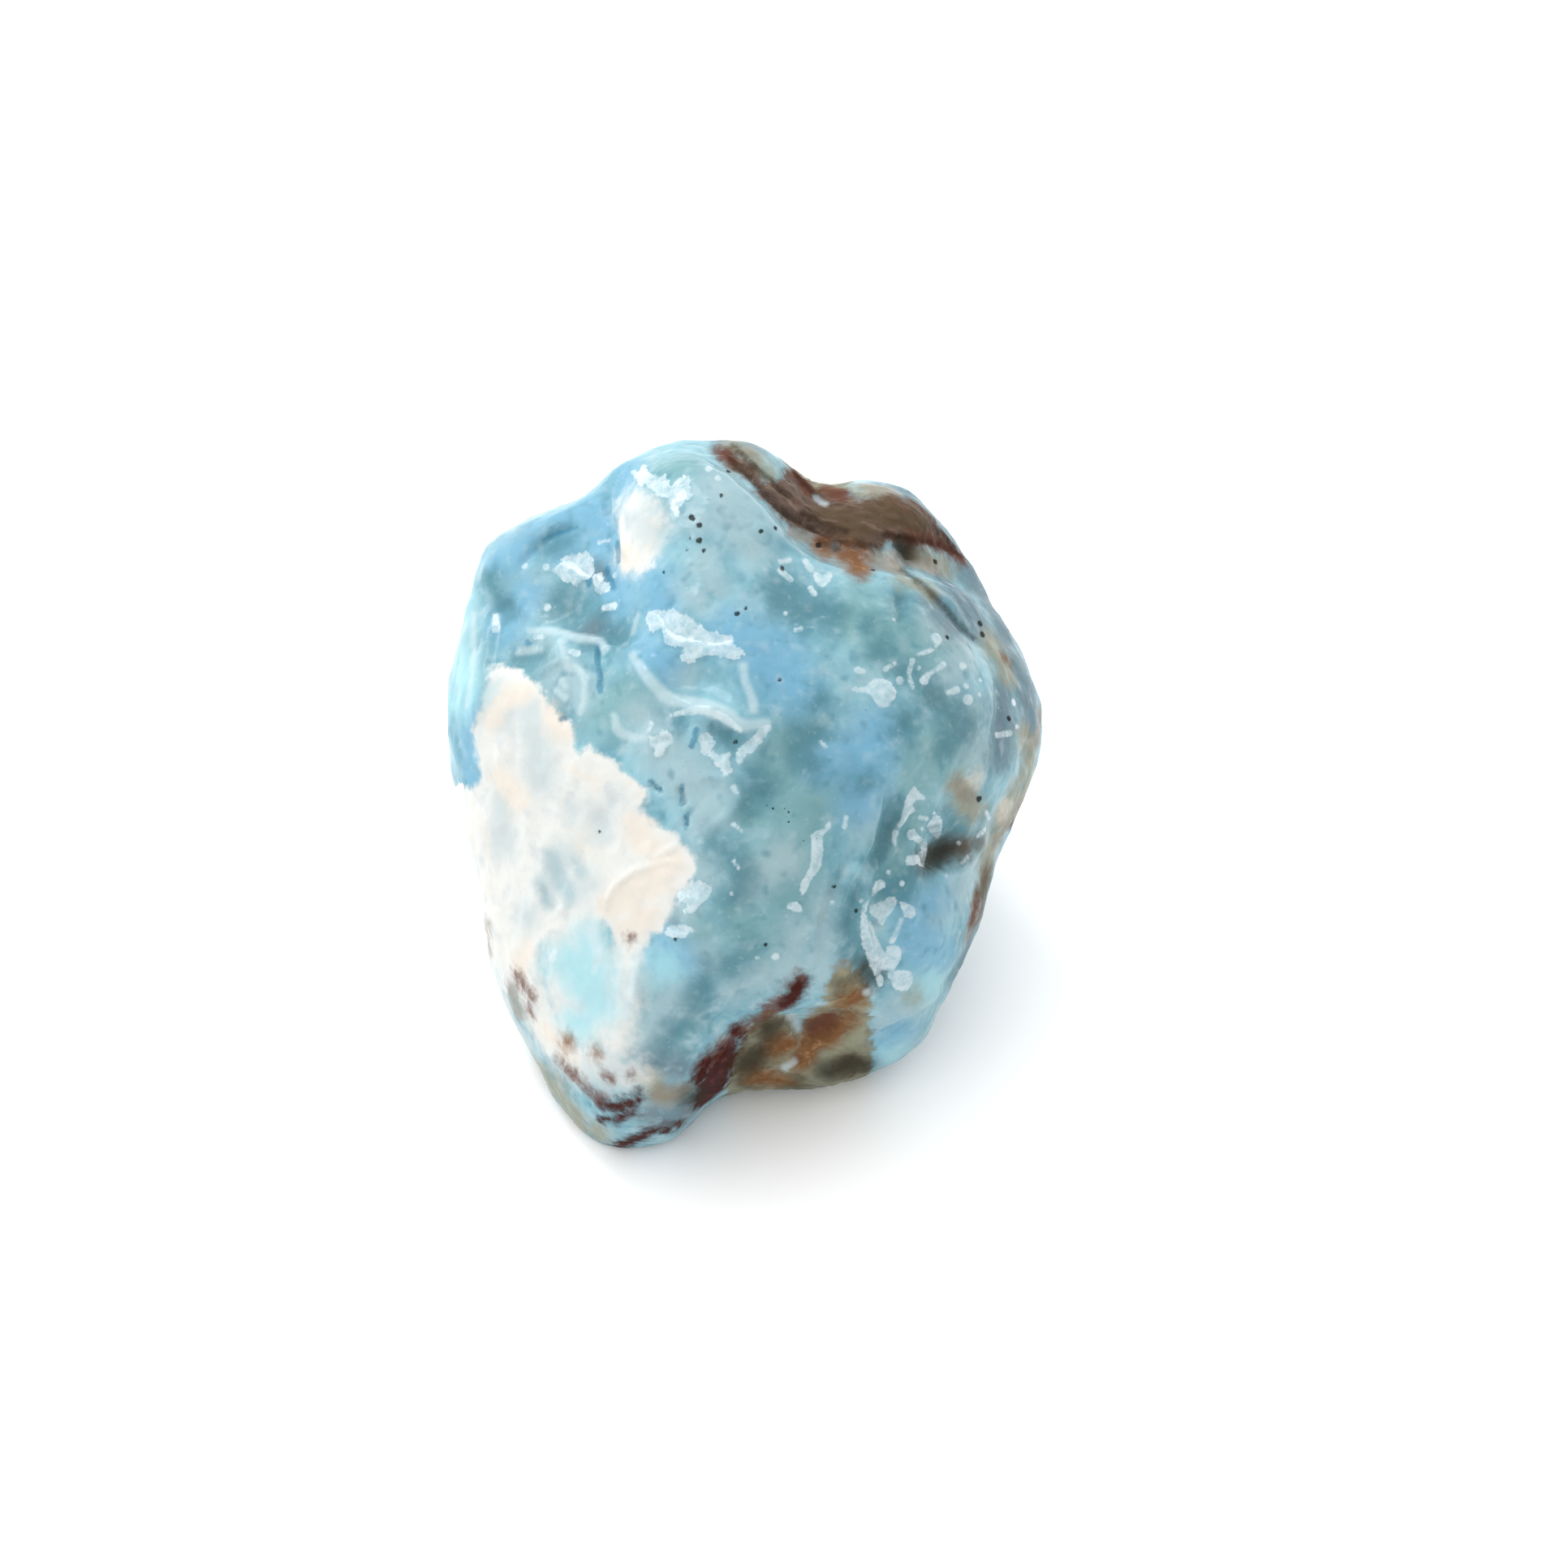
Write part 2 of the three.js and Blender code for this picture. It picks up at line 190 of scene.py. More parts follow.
# Lines worn into or left standing on the broad face: height, half width, and x and y of each stop. These
# and all the tables below are in tenths of a millimetre, with the numbers of one stop written together.
FACE_LINES = (
    # the crease inside the upper left rim
    (-3, 3.5, (-101,167, -114,162, -127,153, -135,145, -140,133)),
    # the rim between the broad face and the left flank
    (3, 5, (-160,156, -159,141, -156,119, -158,96, -162,66, -166,36)),
    # a fold down to the basin
    (1.8, 4, (-152,139, -151,128, -139,115, -128,108, -120,102)),
    # the trough floor at the rim
    (-2, 6, (-148,118, -141,108, -133,102)),
    # steps on the left of the crown
    (-3.5, 3, (-85,190, -83,172, -78,160, -77,142)), (2.5, 3.5, (-80,187, -80,173, -74,157, -72,142)),
    (-3, 3, (-86,137, -83,130, -77,123)), (2, 3, (-90,136, -88,129, -86,123)),
    # the basin: its floor ends in a sharp raised bank
    (3, 3.5, (-132,98, -115,100, -103,96, -89,93, -81,88, -72,85, -66,87, -64,98, -61,108)),
    (-2.5, 5, (-124,105, -113,106, -99,100, -86,99, -77,92, -70,92)),
    # a slit and two arcs below the basin
    (-3.5, 2, (-89,90, -89,80, -87,71, -85,62)),
    (2.2, 2.5, (-115,98, -111,90, -108,82, -101,78, -95,69, -96,55)),
    (2, 2.5, (-124,71, -121,76, -112,80, -107,80)), (1.8, 3, (-141,87, -132,90, -121,88)),
    (1.8, 2, (-114,63, -109,58, -105,56)),
    # the lip
    (3.5, 5, (-65,84, -54,68, -42,56, -26,51, -14,49, -4,44, 6,37, 14,39)),
    (-3, 5, (-22,42, -14,39, -5,34)), (2, 3, (-31,42, -29,35, -31,28)), (2.5, 3.5, (10,35, 6,27, 2,20)),
    (2, 3.5, (-61,41, -53,35, -45,37, -38,35)), (2, 3, (-19,35, -11,26, -9,15)),
    # small slits beside the chalk
    (-3, 2, (-57,8, -53,4, -48,2)), (-3, 2.2, (-38,5, -37,-1, -34,-7)), (-2.5, 1.8, (-35,-12, -34,-20)),
    (-2, 2.5, (-113,44, -106,46)),
    # edges of the foam
    (1.8, 3, (-32,6, -21,10, -8,8, -2,0, -7,-10, -16,-17, -25,-24)),
    (1.5, 3, (-31,-23, -23,-33, -15,-41, -16,-48)),
    # chips on the chalk
    (1.6, 2.2, (-84,-73, -81,-61, -74,-52, -63,-45, -45,-40, -35,-42)),
    (1.2, 2.2, (-58,-26, -54,-37, -44,-33, -36,-28)), (-1.5, 2.5, (-123,-56, -121,-66, -114,-73)),
    (1.5, 3, (-112,-56, -108,-65, -112,-73)),
    # the bank under the cream
    (-2, 3.5, (-38,-56, -41,-65, -39,-73, -44,-81)),
    # pale folds low on the face
    (2, 5, (-73,-100, -75,-119, -76,-142)), (2, 4.5, (-66,-99, -64,-111, -67,-127)),
    (-2.5, 5, (-20,-106, -25,-117, -36,-129, -46,-143)), (1.5, 4, (-12,-106, 2,-108, 16,-112)),
    # the fold down the right side, in strands
    (3, 3.5, (82,18, 81,2, 78,-14, 71,-36, 62,-53, 55,-74, 53,-97, 47,-114)),
    (-2.5, 3.5, (88,15, 86,-6, 85,-20, 76,-42, 68,-56, 62,-77, 61,-98)),
    (2, 3, (99,13, 95,-3, 91,-22, 85,-38, 74,-49)), (-2, 3.5, (73,-15, 64,-38, 53,-55, 46,-74, 44,-96)),
    (2, 3, (50,-52, 43,-73, 41,-93, 36,-110)), (1.5, 2.5, (107,25, 102,17, 98,10)),
    # the valley behind the crest on the right
    (-3, 6, (108,60, 117,54, 127,45, 134,35)), (2, 5, (103,53, 111,44, 109,35, 101,26)),
    (-1.5, 4, (94,121, 95,102)),
    # the crease from the seam to the right flank
    (-3, 3, (97,136, 108,126, 117,117, 125,109, 135,99, 145,89)),
    (1.2, 6, (103,135, 114,125, 123,117, 131,108)),
    # edge of the right flank
    (1.5, 7, (146,83, 150,69, 148,48, 143,21, 147,5)), (-2, 4, (154,74, 155,49, 150,24)),
    # bank above the brown pit
    (2.5, 4, (94,-28, 104,-43, 115,-48, 130,-46, 143,-34, 149,-15)),
    # wet loops
    (2.8, 3, (102,3, 98,-6, 96,-14, 91,-24)), (2.2, 3, (112,-7, 118,-15, 118,-25)),
    (2.5, 3, (98,-23, 107,-26, 110,-34, 104,-41)), (3, 3, (79,-52, 72,-66, 71,-79, 75,-92, 81,-107)),
    (2.5, 3.5, (91,-64, 85,-71, 82,-78)), (2.5, 3.5, (93,-64, 101,-71, 96,-81)),
    # low bands on the right lobe
    (3, 6, (81,-142, 94,-135, 110,-126, 126,-120)), (-2.5, 5, (79,-155, 91,-146, 106,-139)),
    # edge between the foot and the green flank
    (-3, 4, (-126,-160, -112,-176, -99,-188, -89,-197)), (2.5, 4, (-121,-156, -107,-171, -93,-181)),
    # ledges of the host rock
    (3, 4, (9,-133, 22,-141, 33,-153, 49,-150, 65,-141)),
    (-3.5, 4, (22,-132, 33,-141, 43,-141, 56,-135, 69,-132)), (-3.5, 4, (47,-171, 61,-164, 74,-167)),
    (3, 4, (4,-169, 21,-165, 36,-170, 46,-177)), (-2.5, 4, (-7,-188, -5,-166, 1,-151)),
    # threads in the seam
    (2.2, 2, (-9,214, 2,205, 13,189, 25,176, 39,169, 58,161, 77,155)),
    (-3, 2, (-14,211, -3,205, 7,189, 19,176, 29,169, 43,162, 61,156)),
    (2, 2, (6,202, 17,192, 29,181, 43,173, 61,166, 81,160)),
    (-2.5, 2, (13,201, 25,185, 39,176, 56,169, 76,162)),
    (2.5, 2.5, (82,157, 92,160, 102,157, 111,150, 116,140)), (-3.5, 3, (90,155, 98,151, 102,143)),
    (-3, 3, (106,158, 120,157, 136,151)),
)
# Hollows, and swells where the depth is above 0: depth, x, y, half length, half height and turn in degrees.
FACE_HOLLOWS = (
    (-1.2, -41, 71, 24, 9, -25),  # blue hollow over the lip
    (-2, -16, 37, 13, 8, -30),  # hollow under the lip
    (-3.5, -95, 109, 25, 12, -15),  # basin floor
    (-1.5, -130, 81, 10, 5.5, 0),  # small pool
    (2, -111, 68, 4.5, 6, 10),  # eye in the ring
    (-2, -86, -15, 5.5, 9, 20),  # dent in the chalk
    (-2, -113, -50, 11, 14, 0),  # grey dents in the chalk
    (-1, -77, -3, 3, 6, 15),
    (2, -107, 138, 11, 8, -20),  # pad in the trough
    (-5, 121, -34, 12, 6, 25),  # the brown pit
    (-2, 95, 111, 4, 10, 0), (-2, 98, 40, 4.5, 7, 10), (-2.5, 13, 1, 7, 5, 30),
    (1.5, 81, 59, 9, 7, -20),  # drop
    (2.5, 115, -80, 20, 18, 0),  # the right lobe
    (-2, 54, -58, 6, 4.5, 0),
    (2, 157, 9, 13, 10, 0),  # pale lumps on the right rim
    (2, 161, -16, 8, 7, 0), (-2, 66, 17, 5, 4.5, 0), (1.5, -23, 31, 6, 6, 0), (1.5, -50, 31, 7, 6, 0),
    (-1.5, -74, 27, 8, 6, 0), (-1.2, -90, 45, 4, 3, 0), (1.2, -16, -6, 8, 5, 20),
    (1.2, -24, -12, 6, 4.5, 0),
    (2.5, -30, -65, 13, 9, -35),  # pad under the cream
    (-2, 41, 106, 10, 7, 20), (-2, 43, 35, 9, 11, 0), (1.5, 6, 126, 10, 8, 0), (-1.5, 70, 33, 9, 7, 0),
    (2, 26, -124, 12, 7, -30),  # iron lump
    (2.5, -17, -170, 10, 15, -20),  # iron lump at the foot
    (-2, 74, -108, 7, 6, 0),
    (2, 96, 169, 10, 7, 0),  # gold lump
    (-2, 46, 181, 7, 4, 20),
)
# The hidden side goes on as the broad face does: the seam runs right over it, with ledges beside it.
BACK_LINES = (
    (-4, 3, (126,108, 118,96, 88,72, 68,30, 22,8, 1,-38, -44,-51, -80,-92)),
    (3, 2.5, (130,96, 124,86, 96,63, 79,22, 30,-5, 12,-46, -40,-62)), (-3, 3, (86,48, 112,34, 134,38)),
    (2.5, 3, (84,39, 110,25, 132,27)), (-3, 2.5, (8,-44, 34,-66, 42,-90)),
    (4, 7, (-120,140, -70,115, -20,125, 40,150, 90,140)), (-3.5, 5, (-90,170, -50,145, 0,155, 40,180)),
    (3.5, 6, (130,30, 90,0, 60,-50, 70,-100)), (-3, 4, (100,30, 65,-5, 35,-60)),
    (3, 5, (-140,-20, -90,-10, -50,-50, -60,-100)), (-3, 3.5, (-120,-60, -90,-50, -80,-90)),
    (2.5, 4, (10,10, 30,-20, 10,-50)),
)
BACK_HOLLOWS = (
    (-6, -90, 95, 22, 14, 20), (-5, 30, 105, 26, 15, -15), (4, 95, 50, 18, 12, 0),
    (-5, 110, -30, 16, 24, 10), (-4, -20, 5, 18, 12, 30), (3.5, -110, -80, 20, 16, 0),
    (-3, 0, 175, 12, 8, 0), (3, 55, 15, 12, 10, 0), (-3, -140, 20, 9, 14, 0),
)
LINE_REACH = 2.6  # half widths, past which a line leaves no trace
LINE_FADE = 6  # a line fades in over a sixth of its length, and out again
HOLLOW_REACH = 8  # half lengths squared, past which a hollow leaves no trace
HOLLOW_OUT = 3  # half lengths out of the face that it reaches, and a millimetre more
UNEVEN = 0.45  # how much the wear is stronger in some places than in others

sides = ((FRONT, FACE_LINES, FACE_HOLLOWS), (BACK, BACK_LINES, BACK_HOLLOWS))
uneven = 1 + UNEVEN * grain(1.6)
for side, lines, hollows in sides:
    for height, width, stops in lines:
        height, width = height / 10, width / 10
        near, gap, way = reach(route(rows(stops, 2), side), LINE_REACH * width)
        fade = np.clip(np.minimum(way, 1 - way) * LINE_FADE, 0, 1)
        press(height * np.exp(-((gap / width) ** 2)) * fade * uneven[near], near)
for side, lines, hollows in sides:
    for *sizes, turn in hollows:
        depth, x, y, long, short = np.array(sizes) / 10
        across, up, out = (points - route(np.array([[x, y]]), side)[0, :3]).T
        turned = math.radians(turn)
        u = (across * math.cos(turned) + up * math.sin(turned)) / long
        v = (up * math.cos(turned) - across * math.sin(turned)) / short
        near = np.flatnonzero((u**2 + v**2 < HOLLOW_REACH) & (abs(out) < HOLLOW_OUT * long + 1))
        press(depth * np.exp(-u[near] ** 2 - v[near] ** 2) * uneven[near], near)
set_skin(points)
normals = skin("normals")

FAR = 2.5  # mm: past this a mark leaves no trace
NOT_ZERO = 1e-9  # mm: a level side of an outline can still be divided by its height


def brush(marks, strokes, side):
    """Marks how far each point of the skin is outside these strokes, in mm, less than 0 inside them."""
    for stops in strokes:
        near, gap, _ = reach(route(rows(stops, 3), side), FAR)
        marks[near] = np.minimum(marks[near], gap)


def outline(marks, outlines, side):
    """The same, outside closed outlines."""
    x, y = points[:, 0], points[:, 1]
    for stops in outlines:
        line = route(rows(stops, 2), side, closed=True)
        near, gap, _ = reach(line, FAR)
        inside = np.zeros(len(points), bool)
        for (x0, y0), (x1, y1) in zip(line[:, :2], np.roll(line[:, :2], -1, axis=0)):
            crosses = (y0 > y) != (y1 > y)
            inside ^= crosses & (x < x0 + (x1 - x0) * (y - y0) / (y1 - y0 + NOT_ZERO))
        inside &= (unworn_normals[:, 2] * side > PATCH_TURNS) & belongs(side)
        apart = np.full(len(points), FAR)
        apart[near] = gap
        marks[:] = np.minimum(marks, np.where(inside, -apart, apart))


# Where each colour lies on the broad face: closed outlines, with x and y of each stop, and strokes, with x,
# y and half width.
FACE_OUTLINES = {
    "chalk": (  # the big white patch low on the left, and a small one under the crown
        (-152,77, -134,71, -122,61, -119,55, -111,47, -105,36, -102,27, -89,24, -79,17, -70,9, -60,1,
         -61,-6, -58,-15, -51,-20, -39,-29, -29,-41, -32,-50, -39,-56, -44,-67, -51,-79, -59,-87, -66,-93,
         -75,-89, -82,-77, -94,-73, -109,-77, -121,-86, -130,-100, -136,-118, -149,-117, -161,-102,
         -169,-82, -176,-52, -183,-26, -188,-4, -164,4, -161,11, -162,24, -165,33, -163,44, -158,59),
        (-76,168, -62,161, -57,151, -61,138, -76,141, -77,153),
    ),
    "seam": (  # at the top right
        (-15,208, -8,200, 4,191, 9,182, 20,172, 28,165, 41,160, 51,155, 61,152, 71,150, 83,151, 87,156,
         96,155, 106,155, 122,153, 136,148, 132,156, 122,165, 112,176, 105,183, 94,184, 84,182, 71,181,
         64,184, 59,190, 46,190, 41,191, 34,199, 26,198, 19,192, 10,191, 1,202, -8,209),
    ),
    "rock": (  # in the hollow behind the foot
        (-10,-203, -11,-187, -9,-170, -3,-155, 4,-141, 14,-135, 26,-136, 33,-146, 41,-136, 48,-126,
         51,-114, 58,-107, 68,-107, 74,-116, 75,-129, 75,-145, 76,-161, 77,-173, 81,-188, 64,-197,
         34,-204, 6,-208),
    ),
    # Each of these worn flats also gets a painted highlight: pale colour laid over it.
    "glint": (  # worn flats that catch the lamp
        (-119,137, -114,140, -111,143, -108,146, -102,147, -98,148, -95,145, -92,140, -93,135, -96,132,
         -100,130, -103,127, -107,129, -111,130, -114,134),
        (-92,132, -88,135, -85,131, -83,126, -84,123, -90,123),
        (-69,197, -64,197, -62,201, -57,194, -49,193, -44,188, -39,192, -34,192, -33,179, -38,176,
         -39,169, -42,167, -44,175, -49,180, -55,183, -61,189, -62,186),
        (-58,108, -55,110, -37,109, -31,104, -22,98, -11,95, -6,92, -5,88, 0,85, -1,81, -11,81, -22,83,
         -32,79, -37,82, -36,87, -47,90, -48,99, -55,97, -58,101),
        (15,41, 14,35, 11,32, 8,27, 3,24, -1,20, -3,18, -5,20, -4,24, -1,29, 4,32, 8,36, 10,40),
        (-23,36, -20,36, -18,31, -18,25, -15,22, -9,25, -8,19, -9,11, -13,14, -16,18, -19,22, -24,24,
         -27,30, -26,34),
        (-56,35, -53,34, -50,37, -47,38, -43,34, -45,29, -49,24, -52,23, -53,27, -56,30),
        (-40,-62, -35,-55, -28,-52, -21,-55, -19,-59, -23,-63, -28,-69, -33,-72, -36,-69, -33,-65),
        (-47,-83, -42,-80, -35,-78, -31,-81, -35,-85, -43,-86),
    ),
    # These patches of water are painted pale as highlights, and they also stand a little proud.
    "film": (  # water lying in the hollows on the right
        (51,-16, 52,-20, 47,-25, 47,-30, 47,-36, 46,-41, 44,-46, 39,-52, 37,-58, 34,-60, 34,-54, 38,-47,
         40,-42, 40,-34, 40,-31, 41,-27, 40,-24, 44,-22, 47,-21),
        (26,-67, 28,-65, 32,-65, 35,-69, 33,-70, 29,-69),
        (72,64, 77,68, 83,69, 88,66, 91,61, 89,56, 85,52, 81,53, 78,57, 74,60, 65,62, 65,64),
        (102,4, 105,1, 109,-3, 104,-3, 101,-6, 103,-10, 99,-12, 96,-17, 92,-21, 95,-14, 97,-4),
        (111,-6, 114,-11, 118,-14, 120,-20, 118,-27, 115,-25, 111,-20, 113,-15, 115,-13, 112,-9),
        (99,-23, 102,-21, 106,-26, 110,-29, 111,-34, 108,-44, 104,-42, 98,-43, 98,-38, 102,-37, 107,-35,
         106,-31, 103,-28, 99,-27), (78,-55, 81,-52, 84,-53, 85,-56, 80,-58, 77,-61),
        (74,-64, 70,-71, 70,-80, 71,-89, 75,-100, 79,-110, 82,-117, 84,-113, 82,-107, 92,-107, 100,-108,
         102,-113, 99,-119, 92,-119, 89,-113, 87,-109, 92,-104, 95,-98, 93,-92, 86,-93, 85,-96, 81,-90,
         77,-79, 73,-73), (76,-68, 83,-65, 88,-62, 92,-64, 89,-70, 85,-75, 83,-80, 80,-75, 77,-73),
        (93,-65, 99,-67, 103,-70, 102,-75, 97,-73, 95,-69),
    ),
}
FACE_STROKES = {
    "seafoam": (  # greener blue
        (26,23,11, 36,-1,15, 24,-30,15, 26,-59,15), (70,106,12, 94,92,12, 119,92,10), (7,-15,7),
        (2,-73,11, 16,-88,9), (114,24,10, 104,9,8), (90,-40,7, 102,-11,5), (-56,67,5, -71,58,8, -84,45,6),
        (-141,139,4, -144,129,3.5), (134,24,8), (-27,-83,5), (-38,201,4.5, -50,196,4), (-146,130,3),
        (70,122,4),
    ),
    "milk": (  # blue clouded with white
        (-18,186,7, -8,165,6, 6,146,4.5), (-24,140,2.5, -18,125,2.5), (-38,120,3, -26,116,2),
        (-37,72,2.5), (114,-72,4), (81,-141,2, 93,-136,2.5, 108,-129,2), (-176,102,4, -171,71,4),
        (4,-56,3), (-40,-105,7, -27,-100,6), (-57,-128,6, -51,-145,6), (-35,-130,5), (96,-155,6),
        (114,105,4.5, 132,85,5, 119,63,4), (136,48,5, 139,24,4),
        (-61,48,4, -47,23,8, -22,-3,9, -27,-20,4), (43,-98,4, 50,-83,4, 45,-108,4, 49,-64,2.5),
        (80,-3,1, 74,-20,1.5), (-62,-113,8, -72,-133,6, -62,-148,6, -42,-115,5),
        (-8,-118,3.5, 9,-111,3.5, 26,-106,4, 33,-83,3), (-106,65,9, -112,75,7, -99,58,4),
        (105,-127,7, 86,-141,6, 115,-115,5), (24,-39,6, 11,-47,5),
        (-108,-135,4, -100,-144,3.5, -88,-140,3.5), (-58,-178,6, -43,-184,5), (-90,-212,6, -110,-203,5),
        (-34,-196,4), (-58,-196,4.5), (-134,164,3.5, -152,158,3.5), (6,212,3.5), (46,181,2.5),
        (-28,165,5), (-39,-76,4, -32,-39,3, -22,-47,4), (146,-31,3.5, 138,-48,3, 133,-61,3),
        (-128,129,2, -125,113,1.5), (-133,90,2, -124,93,2),
    ),
    "sky": (  # clear light blue
        (-100,176,7, -86,163,10, -87,152,7), (-136,121,7, -144,106,6),
        (-111,171,5, -131,155,7, -150,144,5), (-106,158,6, -119,153,5), (-80,138,6, -73,120,6, -77,107,4),
        (-57,130,5, -51,113,6), (-57,89,6, -49,79,5), (-8,98,7, 9,89,11, 21,74,12, 33,62,7),
        (77,38,7, 73,19,9, 70,-3,9), (50,19,7, 65,26,9), (115,-62,4.5, 104,-79,5.5, 115,-99,9, 100,-92,4),
        (-165,49,2.5, -170,31,3, -166,9,3.5), (83,-156,6, 96,-148,5), (-47,-93,6, -37,-100,5),
        (-73,195,4, -73,185,4), (-139,144,4),
    ),
    # Deep blue-green, and painted shade: much of it is laid in the hollows to darken them.
    "deep_blue_and_shade": (  # deep blue-green, mostly in the hollows
        (-108,123,4, -113,116,5, -97,105,7, -74,95,6), (-137,82,4, -126,82,3.5),
        (21,123,6, 33,114,10, 48,109,9), (84,98,2.5), (76,101,2.5), (72,6,2), (-110,158,2, -123,152,1.5),
        (94,116,3, 95,104,3), (111,54,4, 123,50,6, 134,41,7, 124,31,5), (98,45,3.5, 94,36,3.5),
        (109,62,4, 116,58,5), (13,2,4.5), (-17,-30,3.5, -5,-39,4.5, -2,-54,4.5, -6,-61,3),
        (89,-6,3.5, 85,-25,3.5, 77,-40,3), (110,-45,4, 94,-55,4.5, 80,-59,3.5),
        (65,-59,3.5, 64,-78,6, 67,-98,5), (-22,-105,2.5, -26,-119,3, -33,-135,4, -46,-150,3),
        (7,9,4, 4,-10,3), (-13,35,3.5, -5,34,2.5), (122,-16,3.5, 133,-21,3), (4,-91,3, -8,-103,4),
        (45,38,4.5, 36,28,6, 40,19,4.5), (45,58,1.5), (-111,46,2.5), (82,87,4.5, 94,75,4.5),
        (-157,132,2, -149,116,4),
    ),
    "ice": (  # pale blue, on the left rim and in the foot
        (-179,119,3, -178,90,4.5, -171,64,3.5, -180,55,2.5),
        (-108,-102,7, -96,-109,11, -89,-126,8, -94,-92,6), (-101,-140,6), (115,-117,4.5), (91,-162,3.5),
        (-47,-103,4),
    ),
    # Grey blue, and painted shade: the right flank is darkened with it, as it faces away from the light.
    "grey_blue_and_shade": (  # grey blue, mostly on the right flank
        (117,136,6, 131,125,10, 143,106,8), (143,142,8, 154,121,8, 162,100,7), (115,115,4, 127,100,4.5),
        (170,80,8, 176,54,8, 176,37,6), (159,59,6, 156,24,6), (26,205,3, 36,199,3),
        (-12,217,3.5, 3,213,3), (97,189,4.5, 118,175,4.5, 132,159,4), (41,195,2.5, 51,193,2.5),
        (82,193,2.5, 97,192,3), (-92,100,3.5), (-89,135,2.5), (138,-97,3.5, 132,-112,3),
        (-57,-162,3.5, -40,-166,4.5), (-58,-195,4, -34,-195,4, -47,-183,3.5),
    ),
    "moss": (  # greenish grey, along the edges
        (-141,-156,1.5, -125,-176,7, -114,-188,7, -104,-203,6), (-91,-209,4),
        (134,-3,6.5, 142,-11,4.5, 129,6,4), (172,36,4.5, 177,19,4.5, 171,-4,5, 162,-14,4.5),
        (152,92,6, 161,74,4.5), (97,130,3, 113,123,3), (109,147,4.5, 125,141,3.5),
        (74,188,5.5, 86,187,5, 89,181,4), (-8,214,3.5, 3,206,4.5, 14,194,4),
        (169,4,4.5, 161,-13,5.5, 155,-29,6, 149,-44,5), (105,-122,3.5), (-58,-172,2.5, -48,-183,2.5),
    ),
    "tan": (  # rock dust ground into the skin
        (150,-47,4.5, 146,-60,6, 143,-74,6, 138,-86,4.5), (185,50,2, 182,33,2.5), (88,159,2.5, 101,158,3),
        (101,144,4.5, 117,140,4), (81,143,6, 91,138,4.5), (47,148,4.5, 59,144,4),
        (28,158,2.5, 41,156,2.5), (59,-108,4.5, 66,-120,4.5), (41,-136,3, 58,-125,3.5, 70,-129,3.5),
        (68,-141,4.5), (-160,-81,2, -159,-98,2.5), (-140,-136,3, -145,-119,2.5), (134,-32,3.5),
        (129,5,2, 136,-3,2.5), (63,142,7, 71,138,5), (81,187,4.5, 91,190,4),
        (174,-4,3.5, 166,-14,3.5, 157,-29,3.5), (3,209,2), (-8,198,2.5), (-50,-184,4, -36,-179,3),
    ),
    # Paler crests, and a painted highlight: a pale line laid along the lip and the arcs by the basin, where
    # the crests catch the light.
    "pale_crest_and_highlight": (  # crests rubbed white, the lip and the arcs by the basin
        (-67,83,1.2, -56,68,2.3, -44,57,2.8, -27,53,3.8, -13,48,3.8, -1,41,2.8, 14,42,1.8),
        (-78,47,1.2, -75,38,2.3, -67,34,1.8, -59,34,1.2),
        (-132,100,0.75, -113,99,1.8, -100,95,2.3, -88,93,1.8, -83,87,0.75),
        (-138,87,1.2, -130,88,1.2, -124,88,0.75),
        (-112,93,0.75, -108,82,0.75, -107,77,1.8, -100,75,1.8, -96,68,1.2, -96,57,1.2, -99,49,0.75),
        (-114,63,0.5, -108,58,0.75), (-110,69,0.75, -108,65,0.75),
        (0,76,1.2, 1,67,1.2, 5,57,1.2, 6,50,1.2), (-86,89,0.75, -85,85,0.75), (44,183,1, 49,179,1.2),
        (-64,108,0.5, -67,97,0.5), (-66,-99,0.75, -68,-116,1.2, -72,-133,1.8), (28,-135,2.8, 32,-144,1.8),
        (25,-169,1.8, 30,-165,1.2), (-92,-84,3.8, -88,-96,2.3, -91,-107,1.2), (74,-120,1.2),
        (-159,49,0.5, -165,24,0.5), (-168,111,0.75, -167,79,0.75, -171,54,0.5),
    ),
    "pale_chalk": (  # thin chalk, softer at its edges
        (-105,-85,15, -101,-109,20, -97,-134,18), (-69,173,7, -60,166,7, -62,154,8, -67,145,6),
        (-138,-106,8, -131,-126,9, -121,-145,10, -106,-160,11, -85,-167,8),
        (-71,-94,4.5, -73,-121,4, -78,-151,7), (-78,-171,4, -65,-168,3),
        (-161,-109,3, -155,-125,3.5, -151,-141,3.5, -144,-154,3),
    ),
    "cream": (  # warm spots in the chalk
        (-79,-67,4.5, -67,-59,7.5, -52,-52,5.5, -42,-42,3.5), (-69,-79,5, -57,-71,4),
        (-148,9,3.5, -137,-3,3.5), (-138,-106,2.5, -133,-95,2.5), (-111,38,3, -117,48,2.5),
        (-106,-160,2.5, -123,-145,2.5), (159,-11,3), (142,9,2), (-57,-30,5, -66,-15,4),
        (-157,44,3, -137,63,3.5), (-70,144,3), (90,145,2.5),
    ),
    # Painted shade: grey laid in the chalk's hollows and along its left edge, and under the seam's lower
    # edge.
    "shade": (  # grey hollows in the chalk
        (-189,-8,4, -185,-30,5, -178,-55,5, -172,-80,3.5), (-111,-39,6, -115,-50,4),
        (-106,-62,4.5, -96,-52,4), (-121,-56,1.5, -119,-67,1.5), (-87,-15,3.5, -86,-22,2.5), (-78,-3,1.5),
        (-148,-3,3, -149,-31,4.5), (-152,58,7, -147,46,5), (-129,46,6.5, -126,31,6, -123,9,6),
        (-104,-11,2), (-67,166,4, -57,156,4), (-108,-170,4.5, -87,-171,5),
        (-156,-112,4.5, -147,-138,5, -136,-155,4), (-133,-75,5),
